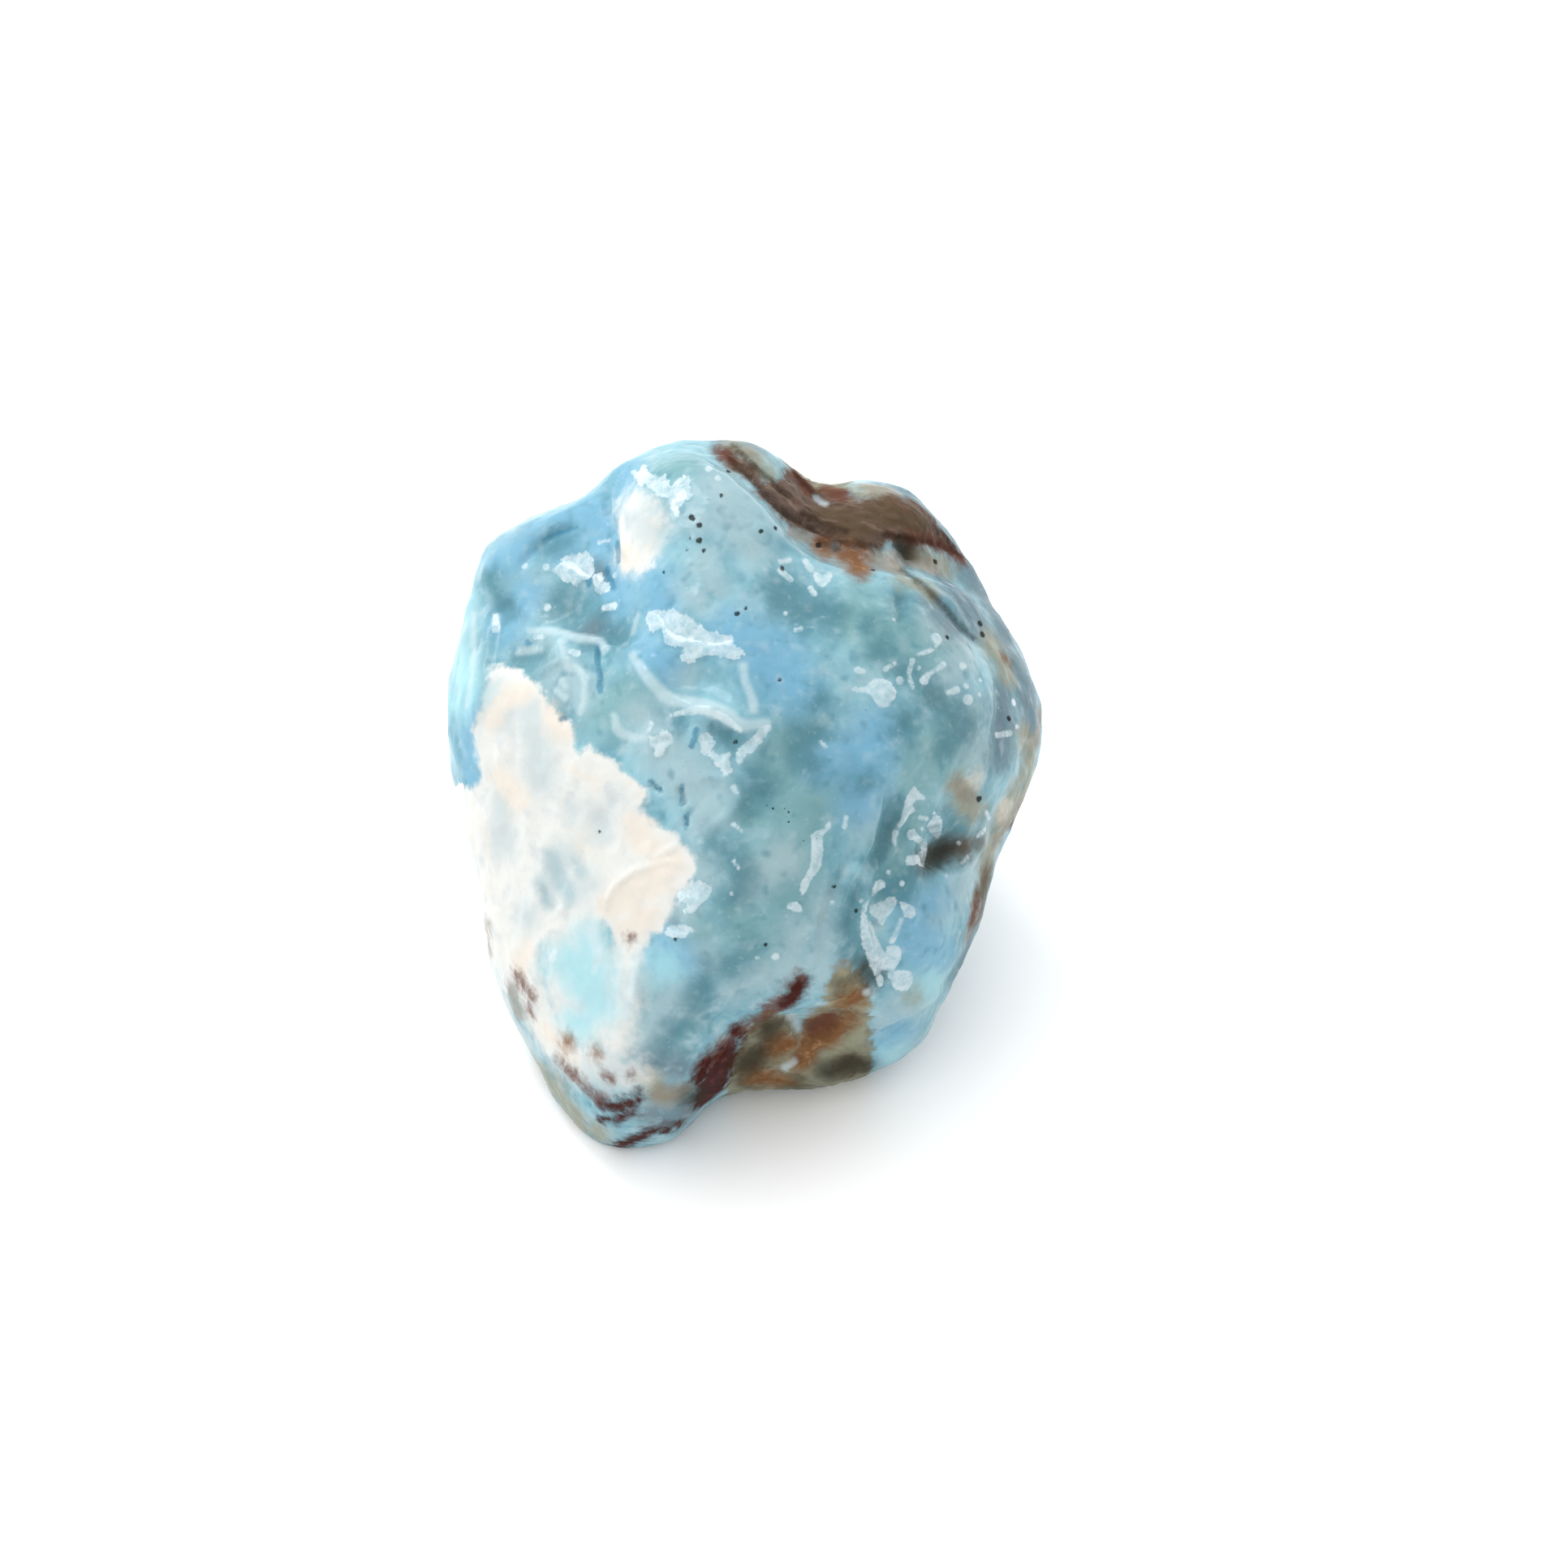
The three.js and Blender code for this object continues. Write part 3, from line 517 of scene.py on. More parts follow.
        (-6,190,4, 6,176,4.5, 19,164,4.5, 33,155,4),
    ),
    "pale_rock": (  # lighter grains of the rock
        (51,-161,4.5, 63,-156,5.5, 71,-145,3.5), (41,-175,5, 57,-182,2.5), (-4,-184,4, -1,-165,2.5),
    ),
    "olive": (  # dark brown-green, in the seam, the pit and the rock
        (58,164,3.5, 72,162,4), (46,173,3, 66,171,5.5, 83,173,6, 99,170,5, 109,166,3), (98,148,4.5),
        (133,-34,4, 140,-32,2.5), (108,-41,4, 119,-36,4.5, 128,-32,3), (150,-49,2.5, 147,-62,2.5),
        (60,-119,1.5), (64,-168,6.5), (4,-160,6.5, 0,-176,4.5), (14,-142,6), (31,-179,5),
    ),
    "amber": (  # iron stain, under the seam and in the rock
        (63,-138,3.5, 51,-147,6, 41,-155,5, 34,-164,4), (19,-155,5.5, 27,-153,3.5),
        (10,-176,5, 20,-178,3.5), (69,-123,3, 60,-128,2), (61,146,4, 69,142,5, 69,135,2.5),
        (47,151,2.5, 50,146,2.5), (161,83,0.5), (-108,-152,0.75), (-90,-157,0.25),
    ),
    "rust": (  # iron stain, redder
        (-68,-86,0.2, -68,-88,0.4), (-15,210,2.5, -10,206,2.5), (31,198,2.5, 38,189,3),
        (50,189,2.5, 60,184,3), (15,-130,3, 24,-125,4, 30,-119,3, 34,-111,2),
        (-5,-144,2, 4,-139,1.5, 12,-134,1), (-25,-168,3, -19,-160,4, -11,-151,3),
        (-140,-111,1, -137,-118,1.5, -132,-124,1), (-133,-131,1, -131,-136,0.5),
        (-97,-181,2, -88,-187,2.5), (143,-67,1.5, 140,-79,2.5), (101,157,2, 117,156,2.5, 136,148,2.5),
        (-114,-164,0.5, -100,-176,1), (41,-142,3.5, 56,-136,2.5), (-85,-171,0.25, -81,-173,0.5),
        (-68,-170,0.25), (166,-20,2.5),
    ),
    "maroon": (  # haematite, at the foot
        (-2,-148,1.5, -11,-160,6, -17,-175,10, -25,-187,7), (-27,-173,3, -22,-163,3),
        (-85,-191,1.5, -74,-190,2.5, -65,-186,2.5), (-89,-200,0.5, -76,-198,1, -68,-194,1),
        (-78,-218,2, -66,-212,3, -58,-207,2.5, -48,-206,2), (-41,-203,2.5), (-35,-208,0.5, -30,-206,0.5),
        (-6,-145,2), (35,-114,2, 25,-127,2), (36,194,1.5),
    ),
    "ink": (  # nearly black, in the pit and the rock
        (16,-142,4, 13,-149,2.5), (2,-165,4, 9,-157,3), (51,-172,4, 64,-168,3.5, 74,-169,3.5),
        (115,-37,3, 121,-34,4.5, 126,-32,3), (73,-106,4, 77,-110,3), (-32,-185,4), (97,150,3),
    ),
    "thread": (  # dark threads in the seam and the creases
        (-10,206,0.75, 4,192,1, 13,181,1, 22,172,1, 30,167,0.5, 41,161,0.5, 51,157,0.75, 66,152,1,
         83,151,0.75), (-7,215,1, 6,201,1.2, 17,191,1.5, 25,182,1), (36,172,1, 48,166,1.5, 61,161,1),
        (86,159,1, 106,157,1.2, 122,154,1.2, 135,150,1.2), (31,198,1, 40,188,1.2, 46,182,1),
        (96,137,1, 110,126,1, 120,116,1, 125,109,1, 133,101,1.2, 140,95,0.75),
        (117,165,1, 126,160,1.5, 133,153,1), (46,154,1, 56,150,1.5),
    ),
    "slit": (  # small blue slits
        (-89,90,0.75, -88,78,1.5, -86,62,1.5), (-56,8,0.75, -49,2,1.2), (-37,5,1, -37,-6,1.2),
        (-34,-12,1, -34,-20,1), (-103,164,0.75, -115,160,1.2, -124,156,0.75), (-97,138,1.5, -95,128,1.5),
        (-84,137,1.5, -80,126,2), (-111,45,1, -107,46,1), (-31,29,1.5, -28,38,1.5),
        (-77,153,1.5, -77,142,1.5), (-133,93,1.5, -132,90,1.5),
    ),
    # These drops and threads of water are painted pale as highlights, and they also stand a little proud.
    "film": (  # drops and threads of water
        (-85,113,1.5, -79,114,2), (-89,154,1.2, -83,155,1.2), (-153,109,2, -153,101,2.5),
        (-43,47,1.2, -34,49,1.8, -24,50,2, -15,47,2, -8,43,2, -2,38,1.5), (-57,37,1, -55,42,1.5),
        (22,140,1.5, 27,141,1.5), (22,134,2, 28,129,1.5), (37,140,2, 40,136,2),
        (44,132,2, 47,128,3, 51,132,2), (40,124,1.5, 42,120,1.5), (-54,137,1.5), (-22,197,1.8),
        (-121,114,2), (-135,140,1.8), (-122,139,2), (-79,133,1.8), (-124,96,1.5, -128,96,1),
        (-101,85,2, -105,86,1.5), (68,74,2, 71,73,1.5), (85,75,1.5, 90,78,1.5), (93,68,2),
        (101,80,1.5, 99,72,1, 101,64,1), (105,84,1, 113,87,1.2, 117,91,1.5, 116,94,3),
        (108,68,2, 111,72,1.2, 116,75,1.2, 120,78,2), (132,77,2), (123,61,1.5, 128,63,2), (134,65,1.8),
        (135,57,3), (154,36,1.8, 162,37,1.5), (165,56,1.8), (167,41,1.2), (142,60,1), (143,69,1),
        (105,76,1), (61,-14,1, 60,-19,1.2), (91,-23,1.5, 90,-27,1.5, 91,-31,0.8),
        (106,-14,1.2, 110,-15,1.2), (107,-21,1.2), (95,-76,1, 92,-83,1, 89,-89,1.5),
        (-6,-18,0.8, -2,-22,0.8), (-6,-40,0.8, -3,-44,0.8), (-117,-100,1.8, -115,-96,1.5), (19,-97,2),
        (8,-98,0.8), (-7,-59,1), (-6,4,1.5, -4,1,1), (95,-54,1.2), (70,-64,1.2), (87,-47,1.2),
        (46,31,1, 49,28,1.2), (133,-42,0.8, 138,-37,1), (148,-11,1, 150,-15,1), (143,-26,1, 147,-22,1),
        (131,-30,1.2), (123,-50,1), (31,98,1.2), (25,108,1), (34,99,1), (90,105,1), (-16,191,1.5),
        (53,-65,1),
    ),
    "speck": (  # single grains of metal ore
        (-32,167,1.8), (-30,165,1.2), (-27,162,1.8), (-27,152,1.8), (-24,146,1.2), (-33,154,1),
        (-34,147,1), (-21,177,1), (-14,180,1), (-10,197,1.5), (-48,133,1), (-4,108,1.5), (1,111,1.2),
        (-5,31,1.2), (23,136,1.5), (45,152,1.8), (19,161,1.2), (78,136,1.2), (118,144,1.5), (145,105,1.8),
        (146,98,2), (143,-3,2), (-87,-23,0.8), (21,68,1), (10,158,1.2), (162,46,1.5), (123,95,1.2),
        (-41,-87,1.2), (67,-70,1.2), (13,-90,1), (54,-55,1.2),
    ),
    "dent": (  # blue-grey, where the chalk is worn through
        (-119,-37,1.5, -114,-46,4.5, -110,-54,4, -106,-61,2.5), (-123,-56,1.2, -120,-65,2),
        (-101,-42,1.2, -100,-47,1.5),
    ),
    "peppered": (  # fine grains of metal ore
        (19,-7,4.5, 27,-14,5, 35,-21,5, 40,-28,2.5),
    ),
}
# And on the hidden side.
BACK_OUTLINES = {
    "chalk": (
        (-185,2, -145,8, -120,-12, -95,-30, -105,-70, -126,-116, -150,-122, -170,-92, -185,-20),
        (12,154, 26,159, 34,172, 50,176, 60,166, 82,164, 94,148, 82,136, 76,122, 60,126, 50,108, 38,114,
         32,130, 16,136),
    ),
}
BACK_STROKES = {
    "sky": (
        (-100,130,20, -50,100,24), (90,-10,20, 70,-60,24, 80,-110,15), (-30,-30,20, -50,-80,20),
        (120,60,12),
    ),
    "deep_blue_and_shade": (
        (-70,85,12, -100,95,10), (20,90,14, 50,100,10), (110,-30,13, 105,-60,10), (-20,10,12, 0,-30,10),
    ),
    "seafoam": ((-20,140,20, 10,180,16), (30,10,20, 20,-60,20), (140,10,15)),
    "milk": (
        (-120,160,15, -70,170,15), (50,-20,12, 40,-80,15), (100,130,15, 130,90,10),
        (-80,-20,14, -80,-110,14),
    ),
    "seam": (
        (132,108,3, 124,94,10, 108,79,4, 92,68,8), (92,68,6, 82,48,12, 74,26,5, 52,12,3, 26,2,8),
        (26,2,7, 18,-20,3, 6,-42,9, -18,-52,3), (-18,-52,2, -44,-56,6, -64,-78,2),
        (84,46,5, 112,30,3, 134,34,1), (8,-44,4, 34,-66,2), (26,4,3, 2,24,2, -16,28,1),
    ),
    "tan": ((104,54,10, 70,56,8), (42,-14,9, 26,16,6), (-8,-28,8, -58,-50,8)),
    "rock": ((90,175,10, 50,195,12, 10,205,9), (98,88,12, 72,84,8), (20,-130,15, 60,-140,15)),
    "pale_rock": ((64,189,6, 42,199,4), (86,85,5), (50,-138,8)),
    "olive": ((124,98,7, 114,86,4), (82,44,5, 75,32,3), (8,-38,5), (80,180,5), (24,200,5), (30,-130,8)),
    "amber": ((74,80,5, 62,86,2), (106,44,3), (46,192,3)),
    "rust": ((98,62,5, 112,69,2), (29,-5,4, 42,2,2), (-43,-63,3), (45,-134,6), (-40,140,1)),
    "maroon": ((90,73,2, 102,78,3), (15,-26,2, 8,-36,3), (-120,-125,4)),
    "ink": ((126,99,3), (78,38,3), (4,-45,3)),
    "thread": (
        (128,109,1, 119,98,1.2, 88,72,1.2, 68,30,1, 22,8,1, 1,-38,1.2, -44,-51,0.8),
        (126,88,1, 96,63,1.2, 79,22,1.2, 30,-5,1.2, 12,-46,1),
    ),
    "speck": ((-60,120,1.5), (-55,126,1), (80,20,1.5), (30,-40,1.2), (-120,100,1.5)),
}

places = {name: np.full(len(points), FAR) for name in (*FACE_OUTLINES, *FACE_STROKES)}
for side, outlines, strokes in ((FRONT, FACE_OUTLINES, FACE_STROKES), (BACK, BACK_OUTLINES, BACK_STROKES)):
    for name, stops in outlines.items():
        outline(places[name], stops, side)
    for name, stops in strokes.items():
        brush(places[name], stops, side)

# The host rock is softer than pectolite and wears into grains and ledges.
ROCK_EDGE = 0.25  # mm
COARSE_GRAINS = 0.13  # mm high
FINE_GRAINS = 0.09  # mm high
rough = 1 / (1 + np.exp(np.minimum(places["rock"], places["seam"]) / ROCK_EDGE))
press(rough * (COARSE_GRAINS * grain(0.9, 1) + FINE_GRAINS * grain(0.4, 2)))
# Small pits and swells all over.
SWELL_HEIGHT = 0.04  # mm
FINE_SWELLS = 0.4  # of the height of the wide ones
places["swell"] = grain(0.8, 3) + FINE_SWELLS * grain(0.4, 4)
press(SWELL_HEIGHT * places["swell"])
# The film of water stands a little proud.
FILM_HEIGHT = 0.05  # mm
FILM_EDGE = 0.08  # mm
press(FILM_HEIGHT / (1 + np.exp(places["film"] / FILM_EDGE)))
set_skin(points)
normals = skin("normals")

# Glints: small worn flats, which all lean the way that throws the lamp's light at whoever faces the stone.
GLINT_LEAN = np.array([-0.188, 0.571, 0.799])
GLINT_EDGE = 0.06  # mm
GLINT_REACH = 0.4  # mm past its outline
GLINT_DEEPEST = 0.1  # mm
STEEPEST = 0.5  # where the skin faces a glint's way less than this, its depth is worked out as for this
COARSE_FRAY = 0.12  # mm
FINE_FRAY = 0.06  # mm
fray = COARSE_FRAY * grain(0.7, 5) + FINE_FRAY * grain(0.3, 6)
for stops in FACE_OUTLINES["glint"]:
    gap = np.full(len(points), FAR)
    outline(gap, [stops], FRONT)
    near = np.flatnonzero(gap < GLINT_REACH)
    share = 1 / (1 + np.exp((gap[near] + fray[near]) / GLINT_EDGE))
    middle = np.average(points[near], axis=0, weights=share)
    drop = ((middle - points[near]) @ GLINT_LEAN) / np.maximum(STEEPEST, normals[near] @ GLINT_LEAN)
    press(np.clip(drop, -GLINT_DEEPEST, GLINT_DEEPEST) * share, near)

# The break is left as it is, flat where the stone rests, and no wear reaches it.
BREAK_EDGE = 0.8  # mm: the wear fades out over this height above the break
high = (unworn @ FACE_AXES)[:, 2] + HEART.z
kept = np.clip(1 - high / BREAK_EDGE, 0, 1)[:, None]
points = points * (1 - kept) + unworn * kept
low = (points @ FACE_AXES)[:, 2] + HEART.z
points += np.maximum(0, -low)[:, None] * FACE_AXES[:, 2]
set_skin(points)
stone.data.polygons.foreach_set("use_smooth", [True] * len(stone.data.polygons))
for name, marks in places.items():
    layer = stone.data.attributes.new(name, "FLOAT", "POINT")
    layer.data.foreach_set("value", marks.astype(np.float32))


def colour(code):
    """An sRGB hex colour as a linear one."""
    parts = [int(code[start : start + 2], 16) / 255 for start in (1, 3, 5)]
    return [p / 12.92 if p < 0.04 else ((p + 0.055) / 1.055) ** 2.4 for p in parts] + [1]


def add(tree, kind, inputs, **settings):
    """Adds a shader node with its settings, and its inputs linked or set, colours by their hex codes.

    Gives its first output in use."""
    node = tree.nodes.new("ShaderNode" + kind)
    for name, value in settings.items():
        setattr(node, name, value)
    for name, value in inputs.items():
        socket = node.inputs[name] if isinstance(name, int) else next(
            one for one in node.inputs if one.name == name and one.enabled)
        if isinstance(value, bpy.types.NodeSocket):
            tree.links.new(value, socket)
        else:
            socket.default_value = colour(value) if isinstance(value, str) else value
    return next((one for one in node.outputs if one.enabled), None)


# Wet larimar, tumbled and left unpolished: fibrous pectolite, white where it is pure and blue where
# copper stained it. It is milky and lets light in a little way, so its colours look soft and cloudy.
larimar = bpy.data.materials.new("wet larimar")
larimar.use_nodes = True
fibres = larimar.node_tree
fibres.nodes.clear()
spot = add(fibres, "TexCoord", {}).node.outputs["Object"]
NOISE_SPREAD = 4  # brings noise that mostly lies near a half to about -1 to 1


def mottling(size, detail, rough=0.55, bend=0.0, where=spot):
    """Three fields of noise from about -1 to 1, with swells of this size in mm."""
    node = add(fibres, "TexNoise", {
        "Vector": where, "Scale": 1 / (size * MM), "Detail": detail, "Roughness": rough,
        "Distortion": bend}).node
    level = add(fibres, "VectorMath", {
        0: node.outputs["Color"], 1: [NOISE_SPREAD] * 3, 2: [-NOISE_SPREAD / 2] * 3},
        operation="MULTIPLY_ADD")
    split = add(fibres, "SeparateXYZ", {0: level}).node
    return split.outputs["X"], split.outputs["Y"], split.outputs["Z"]


def stain(under, over, field, low, high, least=0.0, most=1.0):
    """Lays a colour over another by a field of noise: least of it at low, most of it at high."""
    share = add(fibres, "MapRange", {
        "Value": field, "From Min": low, "From Max": high, "To Min": least, "To Max": most},
        interpolation_type="SMOOTHSTEP")
    return add(fibres, "Mix", {"Factor": share, "A": under, "B": over}, data_type="RGBA")


cloudy = mottling(4.2, 3, bend=0.6)
patchy = mottling(1.5, 4)
ragged = mottling(0.55, 5, 0.65)

EDGE_IN = 0.5  # the share of a soft edge's width that it starts inside the mark
EDGE_OUT = 1.5  # and where it ends outside it


def within(place, edge, wander, fray, turn, strength=1.0):
    """How far a point is inside a marked place, from 0 to its strength.

    The edge is this soft, wanders and frays, all in mm. Turn picks the noises that it follows."""
    field = add(fibres, "Attribute", {}, attribute_name=place).node.outputs["Fac"]
    for noisy, amount in ((patchy[turn % 3], wander), (ragged[(turn + 1) % 3], fray)):
        field = add(fibres, "Math", {0: noisy, 1: amount, 2: field}, operation="MULTIPLY_ADD")
    return add(fibres, "MapRange", {
        "Value": field, "From Min": -EDGE_IN * edge, "From Max": EDGE_OUT * edge, "To Min": strength,
        "To Max": 0.0}, interpolation_type="SMOOTHSTEP")


def coat(under, coats):
    """Lays colours over one another: place, colour, and what within() is told of its edge."""
    for place, over, *edge in coats:
        share = within(place, *edge)
        under = add(fibres, "Mix", {"Factor": share, "A": under, "B": over}, data_type="RGBA")
    return under


# Copper blue, clouded with white, and in places greener, greyer or deeper. The deep blue-green and the grey
# blue are partly painted shade, in the hollows and on the right flank.
blue = stain("#82ABB6", "#6593A0", cloudy[0], -0.6, 0.6)
blue = stain(blue, "#A0B6BC", patchy[1], 0.0, 1.0, 0, 0.7)
blue = coat(blue, (
    ("seafoam", "#6E9496", 1.3, 0.45, 0.2, 0, 0.7),
    ("milk", "#96ACB1", 1.1, 0.5, 0.25, 1, 0.75),
    ("sky", "#6C9EB8", 1.3, 0.45, 0.2, 2, 0.8),
    ("deep_blue_and_shade", "#48747F", 0.9, 0.5, 0.2, 1, 0.75),
    ("grey_blue_and_shade", "#5D6E77", 0.9, 0.4, 0.2, 0, 0.8),
    ("moss", "#84836F", 0.7, 0.4, 0.2, 2, 0.85),
))
# Painted light and shade: the small swells are painted paler, and the hollows between them darker.
swell = add(fibres, "Attribute", {}, attribute_name="swell").node.outputs["Fac"]
blue = stain(blue, "#A3B9C0", swell, 0.2, 1.0, 0, 0.35)
blue = stain(blue, "#4B7A88", swell, -1.0, -0.1, 0.6, 0.0)
# Fine mottling, where the fibres crowd and part.
blue = stain(blue, "#A6BCC2", ragged[0], 0.25, 1.2, 0, 0.4)
blue = stain(blue, "#527F8B", ragged[1], 0.35, 1.2, 0, 0.45)

# White pectolite without copper, chalky and a little creamy.
chalk = stain("#CCCCC8", "#BCC1C1", patchy[0], 0.0, 0.9)
chalk = stain(chalk, "#CFC8BD", cloudy[1], 0.1, 0.9, 0, 0.7)

# The brown seam. Its threads run along it, so its streaks are drawn out that way.
SEAM_RUNS = (0.91, -0.29, -0.29)
DRAWN_OUT = 0.85  # how much of the noise's change along the seam is taken away
along = add(fibres, "VectorMath", {0: spot, 1: SEAM_RUNS}, operation="DOT_PRODUCT")
drawn = add(fibres, "VectorMath", {0: SEAM_RUNS, "Scale": along}, operation="SCALE")
drawn = add(fibres, "VectorMath", {0: drawn, 1: [-DRAWN_OUT] * 3, 2: spot}, operation="MULTIPLY_ADD")
streaks = mottling(0.5, 3, where=drawn)
seam = stain("#5C483C", "#7C685B", streaks[0], 0.0, 0.9)
seam = stain(seam, "#3A281F", streaks[1], 0.1, 0.9, 0, 0.7)
seam = stain(seam, "#6A3A2A", patchy[1], 0.1, 0.9, 0, 0.6)

# The green-grey basalt it grew in, and what rust, haematite and manganese left on it.
rock = stain("#6F6C5A", "#858169", patchy[2], -0.4, 0.6)
rock = stain(rock, "#4E4636", ragged[0], 0.2, 0.9, 0, 0.8)
amber = stain("#6E4420", "#96704A", ragged[2], 0.0, 1.0)
maroon = stain("#3A1712", "#5E3026", ragged[1], 0.0, 1.0)
body = coat(blue, (
    ("pale_chalk", chalk, 1.0, 0.5, 0.3, 2, 0.9),
    ("chalk", chalk, 0.3, 0.45, 0.16, 0, 0.95),
    ("shade", "#93A9AF", 0.9, 0.6, 0.2, 0, 0.45),
    ("dent", "#93A9AF", 0.5, 0.2, 0.2, 1, 0.75),
    ("ice", "#90BFC7", 1.2, 0.5, 0.2, 0, 0.85),
    ("cream", "#CDC4B8", 0.6, 0.5, 0.2, 1, 0.75),
    ("tan", "#7F786C", 0.4, 0.35, 0.3, 1, 0.75),
    ("seam", seam, 0.4, 0.25, 0.25, 0, 0.95),
    ("rock", rock, 0.35, 0.55, 0.35, 1, 0.93),
    ("pale_rock", "#868874", 0.35, 0.4, 0.3, 0, 0.85),
    ("olive", "#4C3F2C", 0.7, 0.35, 0.25, 2, 0.75),
    ("amber", amber, 0.7, 0.3, 0.35, 0, 0.85),
    ("rust", "#5E3A2E", 0.45, 0.2, 0.35, 2, 0.85),
    ("maroon", maroon, 0.45, 0.25, 0.35, 1, 0.97),
    ("ink", "#312F27", 0.8, 0.2, 0.2, 0, 0.8),
    ("thread", "#24160F", 0.22, 0.05, 0.12, 2, 0.65),
    ("slit", "#3A7690", 0.1, 0.0, 0.1, 0, 0.7),
    ("pale_crest_and_highlight", "#B6C6CA", 0.2, 0.08, 0.04, 2, 0.55),
))

# Painted highlight: where water stands or a worn flat throws the light back, pale colour is painted on, a
# little blotched by noise.
PAINTED_HIGHLIGHT_WHITE = 0.85  # how much white there is in its brightest spots
shine = add(fibres, "Math",
            {0: within("glint", 0.06, 0.1, 0.26, 1), 1: within("film", 0.07, 0.05, 0.06, 1)},
            operation="MAXIMUM")
painted_highlight = add(fibres, "MapRange", {
    "Value": ragged[0], "From Min": -0.9, "From Max": 0.7, "To Min": 0.35, "To Max": 1.0},
    interpolation_type="SMOOTHSTEP")
painted_highlight = add(fibres, "Math", {0: painted_highlight, 1: shine}, operation="MULTIPLY")
painted_highlight = add(fibres, "Math", {0: painted_highlight, 1: PAINTED_HIGHLIGHT_WHITE}, operation="MULTIPLY")
body = add(fibres, "Mix", {"Factor": painted_highlight, "A": body, "B": "#BCCBD0"}, data_type="RGBA")

# Grains of native copper and iron ore: a pepper of fine ones, and single specks.
PEPPER = 0.42  # mm apart
pepper = add(fibres, "TexVoronoi", {"Vector": spot, "Scale": 1 / (PEPPER * MM)}).node
pepper = add(fibres, "MapRange", {
    "Value": pepper.outputs["Distance"], "From Min": 0.12, "From Max": 0.22, "To Min": 1, "To Max": 0},
    interpolation_type="SMOOTHSTEP")
pepper = add(fibres, "Math", {0: pepper, 1: within("peppered", 0.15, 0.0, 0.4, 1)}, operation="MULTIPLY")
body = add(fibres, "Mix", {"Factor": pepper, "A": body, "B": "#2A3A3C"}, data_type="RGBA")
body = coat(body, (("speck", "#1C1D1C", 0.05, 0.0, 0.08, 2, 0.9),))

# The rock and the stains are porous and soak the water up, so the film is thin where the stone is dark.
film = add(fibres, "RGBToBW", {"Color": body})
film = add(fibres, "MapRange", {
    "Value": film, "From Min": 0.03, "From Max": 0.35, "To Min": 0.04, "To Max": 0.4},
    interpolation_type="SMOOTHSTEP")
film = add(fibres, "Math", {0: film, 1: shine}, operation="MAXIMUM")

# Water in the pores lets light further in, so wet stone is darker than dry. Only the film shines: the dull
# skin under it has no gloss of its own.
SOAKED = 0.86
PORE_DEPTH = 0.006 * MM
RIPPLE_HEIGHT = 0.01 * MM
LIGHT_GOES_IN = 0.4 * MM
soaked = add(fibres, "VectorMath", {0: body, "Scale": SOAKED}, operation="SCALE")
pores = add(fibres, "Bump", {"Height": ragged[2], "Strength": 1.0, "Distance": PORE_DEPTH})
ripples = add(fibres, "Bump", {"Height": patchy[0], "Strength": 1.0, "Distance": RIPPLE_HEIGHT})
skin_shader = add(fibres, "BsdfPrincipled", {
    "Base Color": soaked, "Roughness": 0.5, "Normal": pores, "Specular IOR Level": 0.0,
    "Subsurface Weight": 0.3, "Subsurface Radius": (1.0, 1.1, 1.2), "Subsurface Scale": LIGHT_GOES_IN,
    "Coat Weight": film, "Coat Roughness": 0.04, "Coat IOR": 1.33, "Coat Normal": ripples})
add(fibres, "OutputMaterial", {"Surface": skin_shader})

stone.data.materials.clear()
stone.data.materials.append(larimar)
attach(stone, "root")
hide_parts("larimar_stone")


# ---- The studio ----
# A wide white paper floor that runs out of sight, white walls all round, and one large soft lamp high up,
# a little behind the stone and to its left.

FLOOR_SIZE = 6.0  # m
bpy.ops.object.select_all(action="DESELECT")
bpy.ops.mesh.primitive_plane_add(size=FLOOR_SIZE)
floor = bpy.context.object
floor.name = "floor"
# Uncoated paper, pressed smooth: matt, so it takes a soft shadow and shows no reflection of the stone.
paper = bpy.data.materials.new("white paper")
paper.use_nodes = True
paper_shader = paper.node_tree.nodes["Principled BSDF"]
paper_shader.inputs["Base Color"].default_value = colour("#F7F7F7")
paper_shader.inputs["Roughness"].default_value = 0.8
paper_shader.inputs["Specular IOR Level"].default_value = 0.1
floor.data.materials.append(paper)

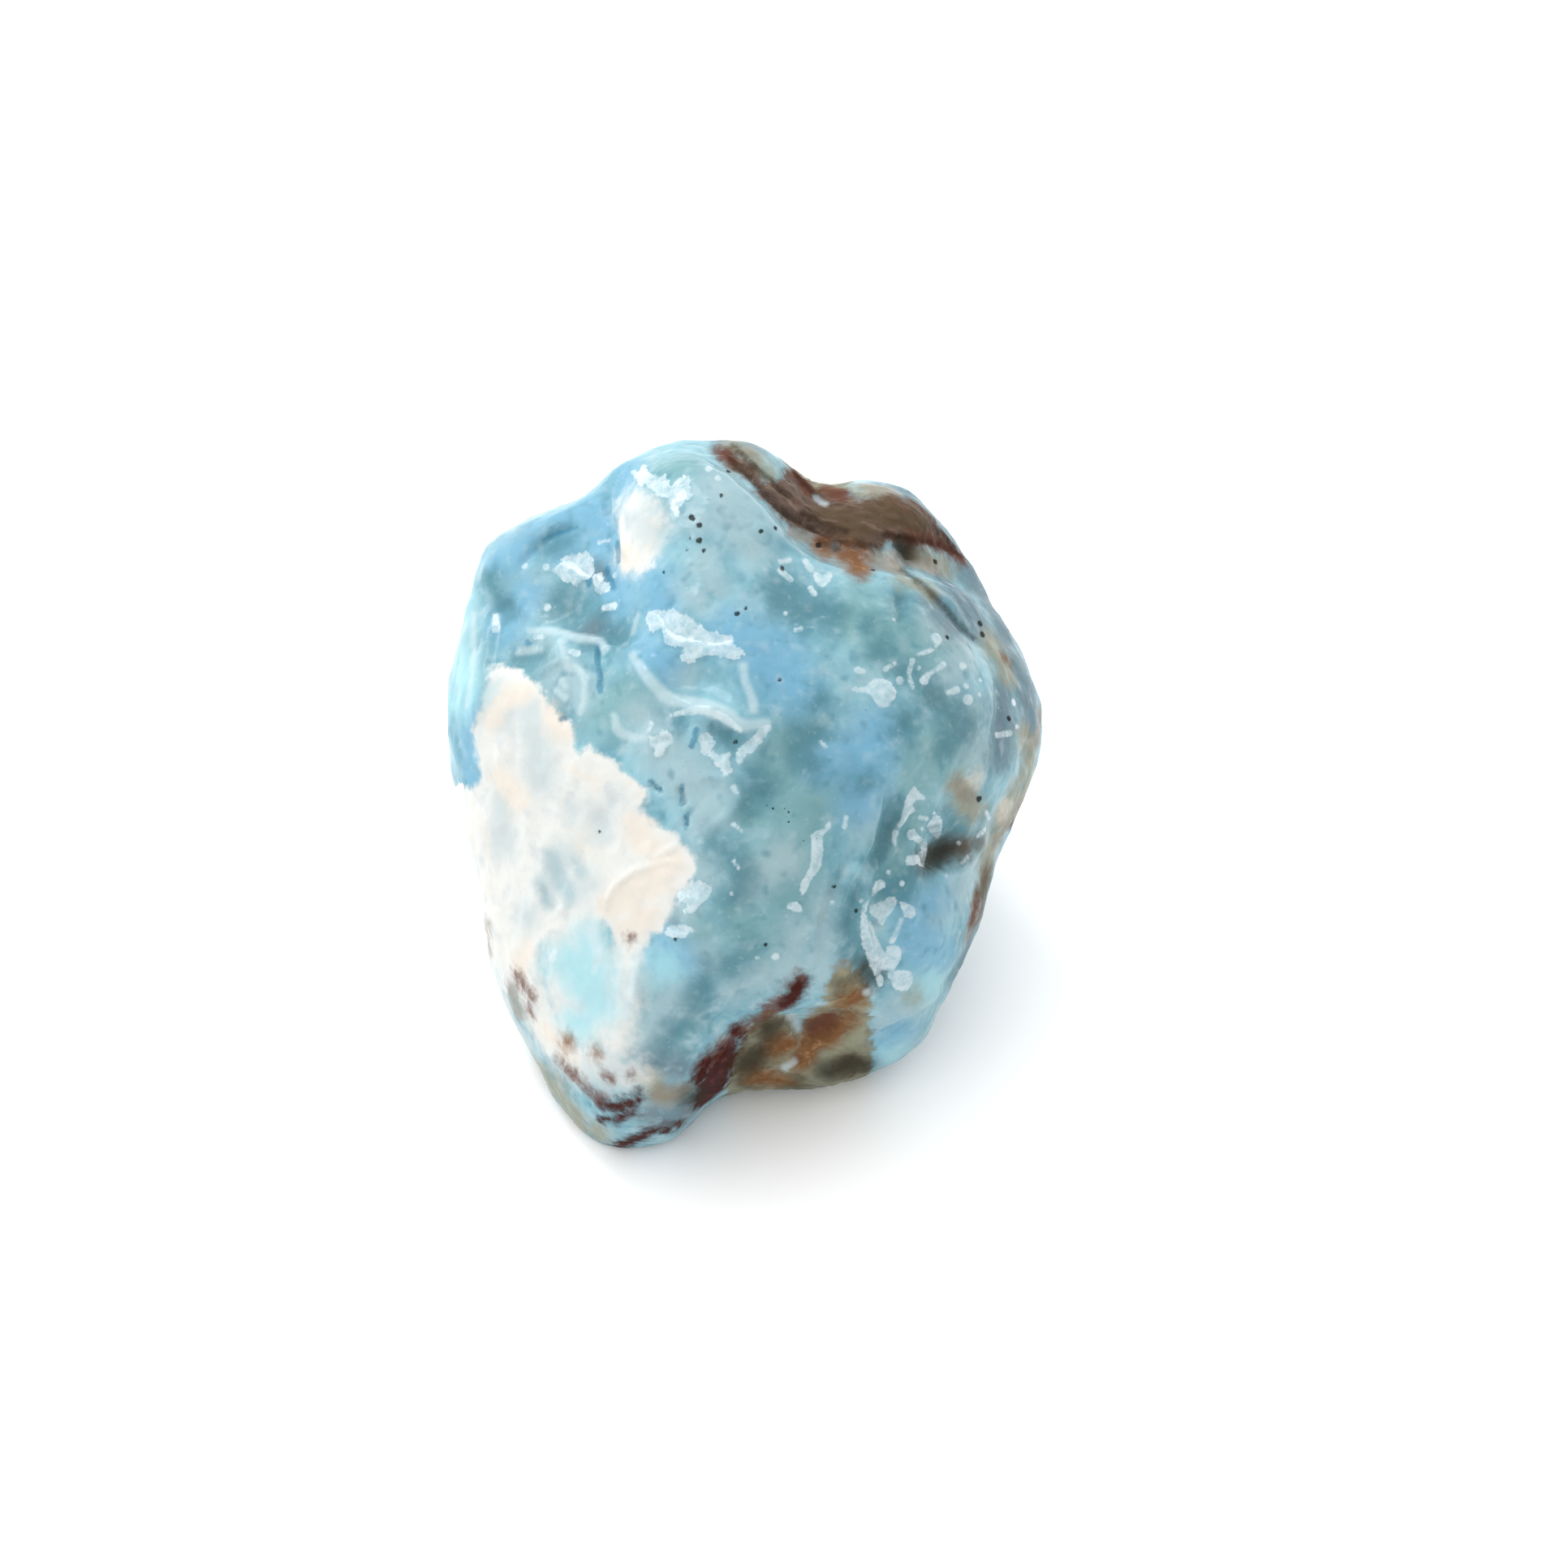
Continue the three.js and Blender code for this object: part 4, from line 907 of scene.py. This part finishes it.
# The walls are brightest behind the stone and to its left, and dimmest where whoever looks at it stands.
BRIGHT_SIDE = Vector((-0.85, 0.15, 0.45))
DIM_WALL = 1.1
BRIGHT_WALL = 1.8
world = bpy.data.worlds.new("studio")
world.use_nodes = True
room = world.node_tree
walls = room.nodes["Background"].inputs
walls["Color"].default_value = (1, 1, 1, 1)
toward = add(room, "TexCoord", {}).node.outputs["Generated"]
toward = add(room, "VectorMath", {0: toward, 1: BRIGHT_SIDE.normalized()}, operation="DOT_PRODUCT")
strength = add(room, "MapRange", {
    "Value": toward, "From Min": -0.45, "From Max": 0.8, "To Min": DIM_WALL, "To Max": BRIGHT_WALL},
    interpolation_type="SMOOTHSTEP")
room.links.new(strength, walls["Strength"])
bpy.context.scene.world = world

LAMP_SIDE = Vector((-0.30, 0.45, 0.84)).normalized()
LAMP_DISTANCE = 0.7  # m from the stone's heart
LAMP_GLOW = 12.0  # watts from each square metre of its face, over pi
softbox = bpy.data.lights.new("softbox", "AREA")
softbox.shape = "RECTANGLE"
softbox.size = 0.3
softbox.size_y = 0.22
softbox.energy = LAMP_GLOW * math.pi * softbox.size * softbox.size_y
lamp = bpy.data.objects.new("softbox", softbox)
bpy.context.scene.collection.objects.link(lamp)
lamp.location = HEART * MM + LAMP_SIDE * LAMP_DISTANCE
lamp.rotation_euler = LAMP_SIDE.to_track_quat("Z", "Y").to_euler()

# ---- The camera ----
# It looks square on at the broad face, a little to the right of the stone's middle and above it, from
# far enough off to flatten the stone as a close-up lens does.

CAMERA_DISTANCE = 0.37  # m
VIEW_WIDTH = 0.0966  # m: how much of the stone's own plane it takes in
SENSOR = 36  # mm
AIM = Vector((2.4, 0.6, 0.0))  # mm across the broad face, up it and out of it
face = Matrix(FACE_AXES.tolist()).transposed()
aim_at = (HEART + face @ AIM) * MM
view_from = face @ Vector((0, 0, 1))
lens = bpy.data.cameras.new("camera")
lens.sensor_width = SENSOR
lens.lens = SENSOR * CAMERA_DISTANCE / VIEW_WIDTH
lens.clip_start = 0.01
camera = bpy.data.objects.new("camera", lens)
bpy.context.scene.collection.objects.link(camera)
camera.location = aim_at + view_from * CAMERA_DISTANCE
camera.rotation_euler = view_from.to_track_quat("Z", "Y").to_euler()
bpy.context.scene.camera = camera
bpy.context.scene.view_settings.view_transform = "Standard"
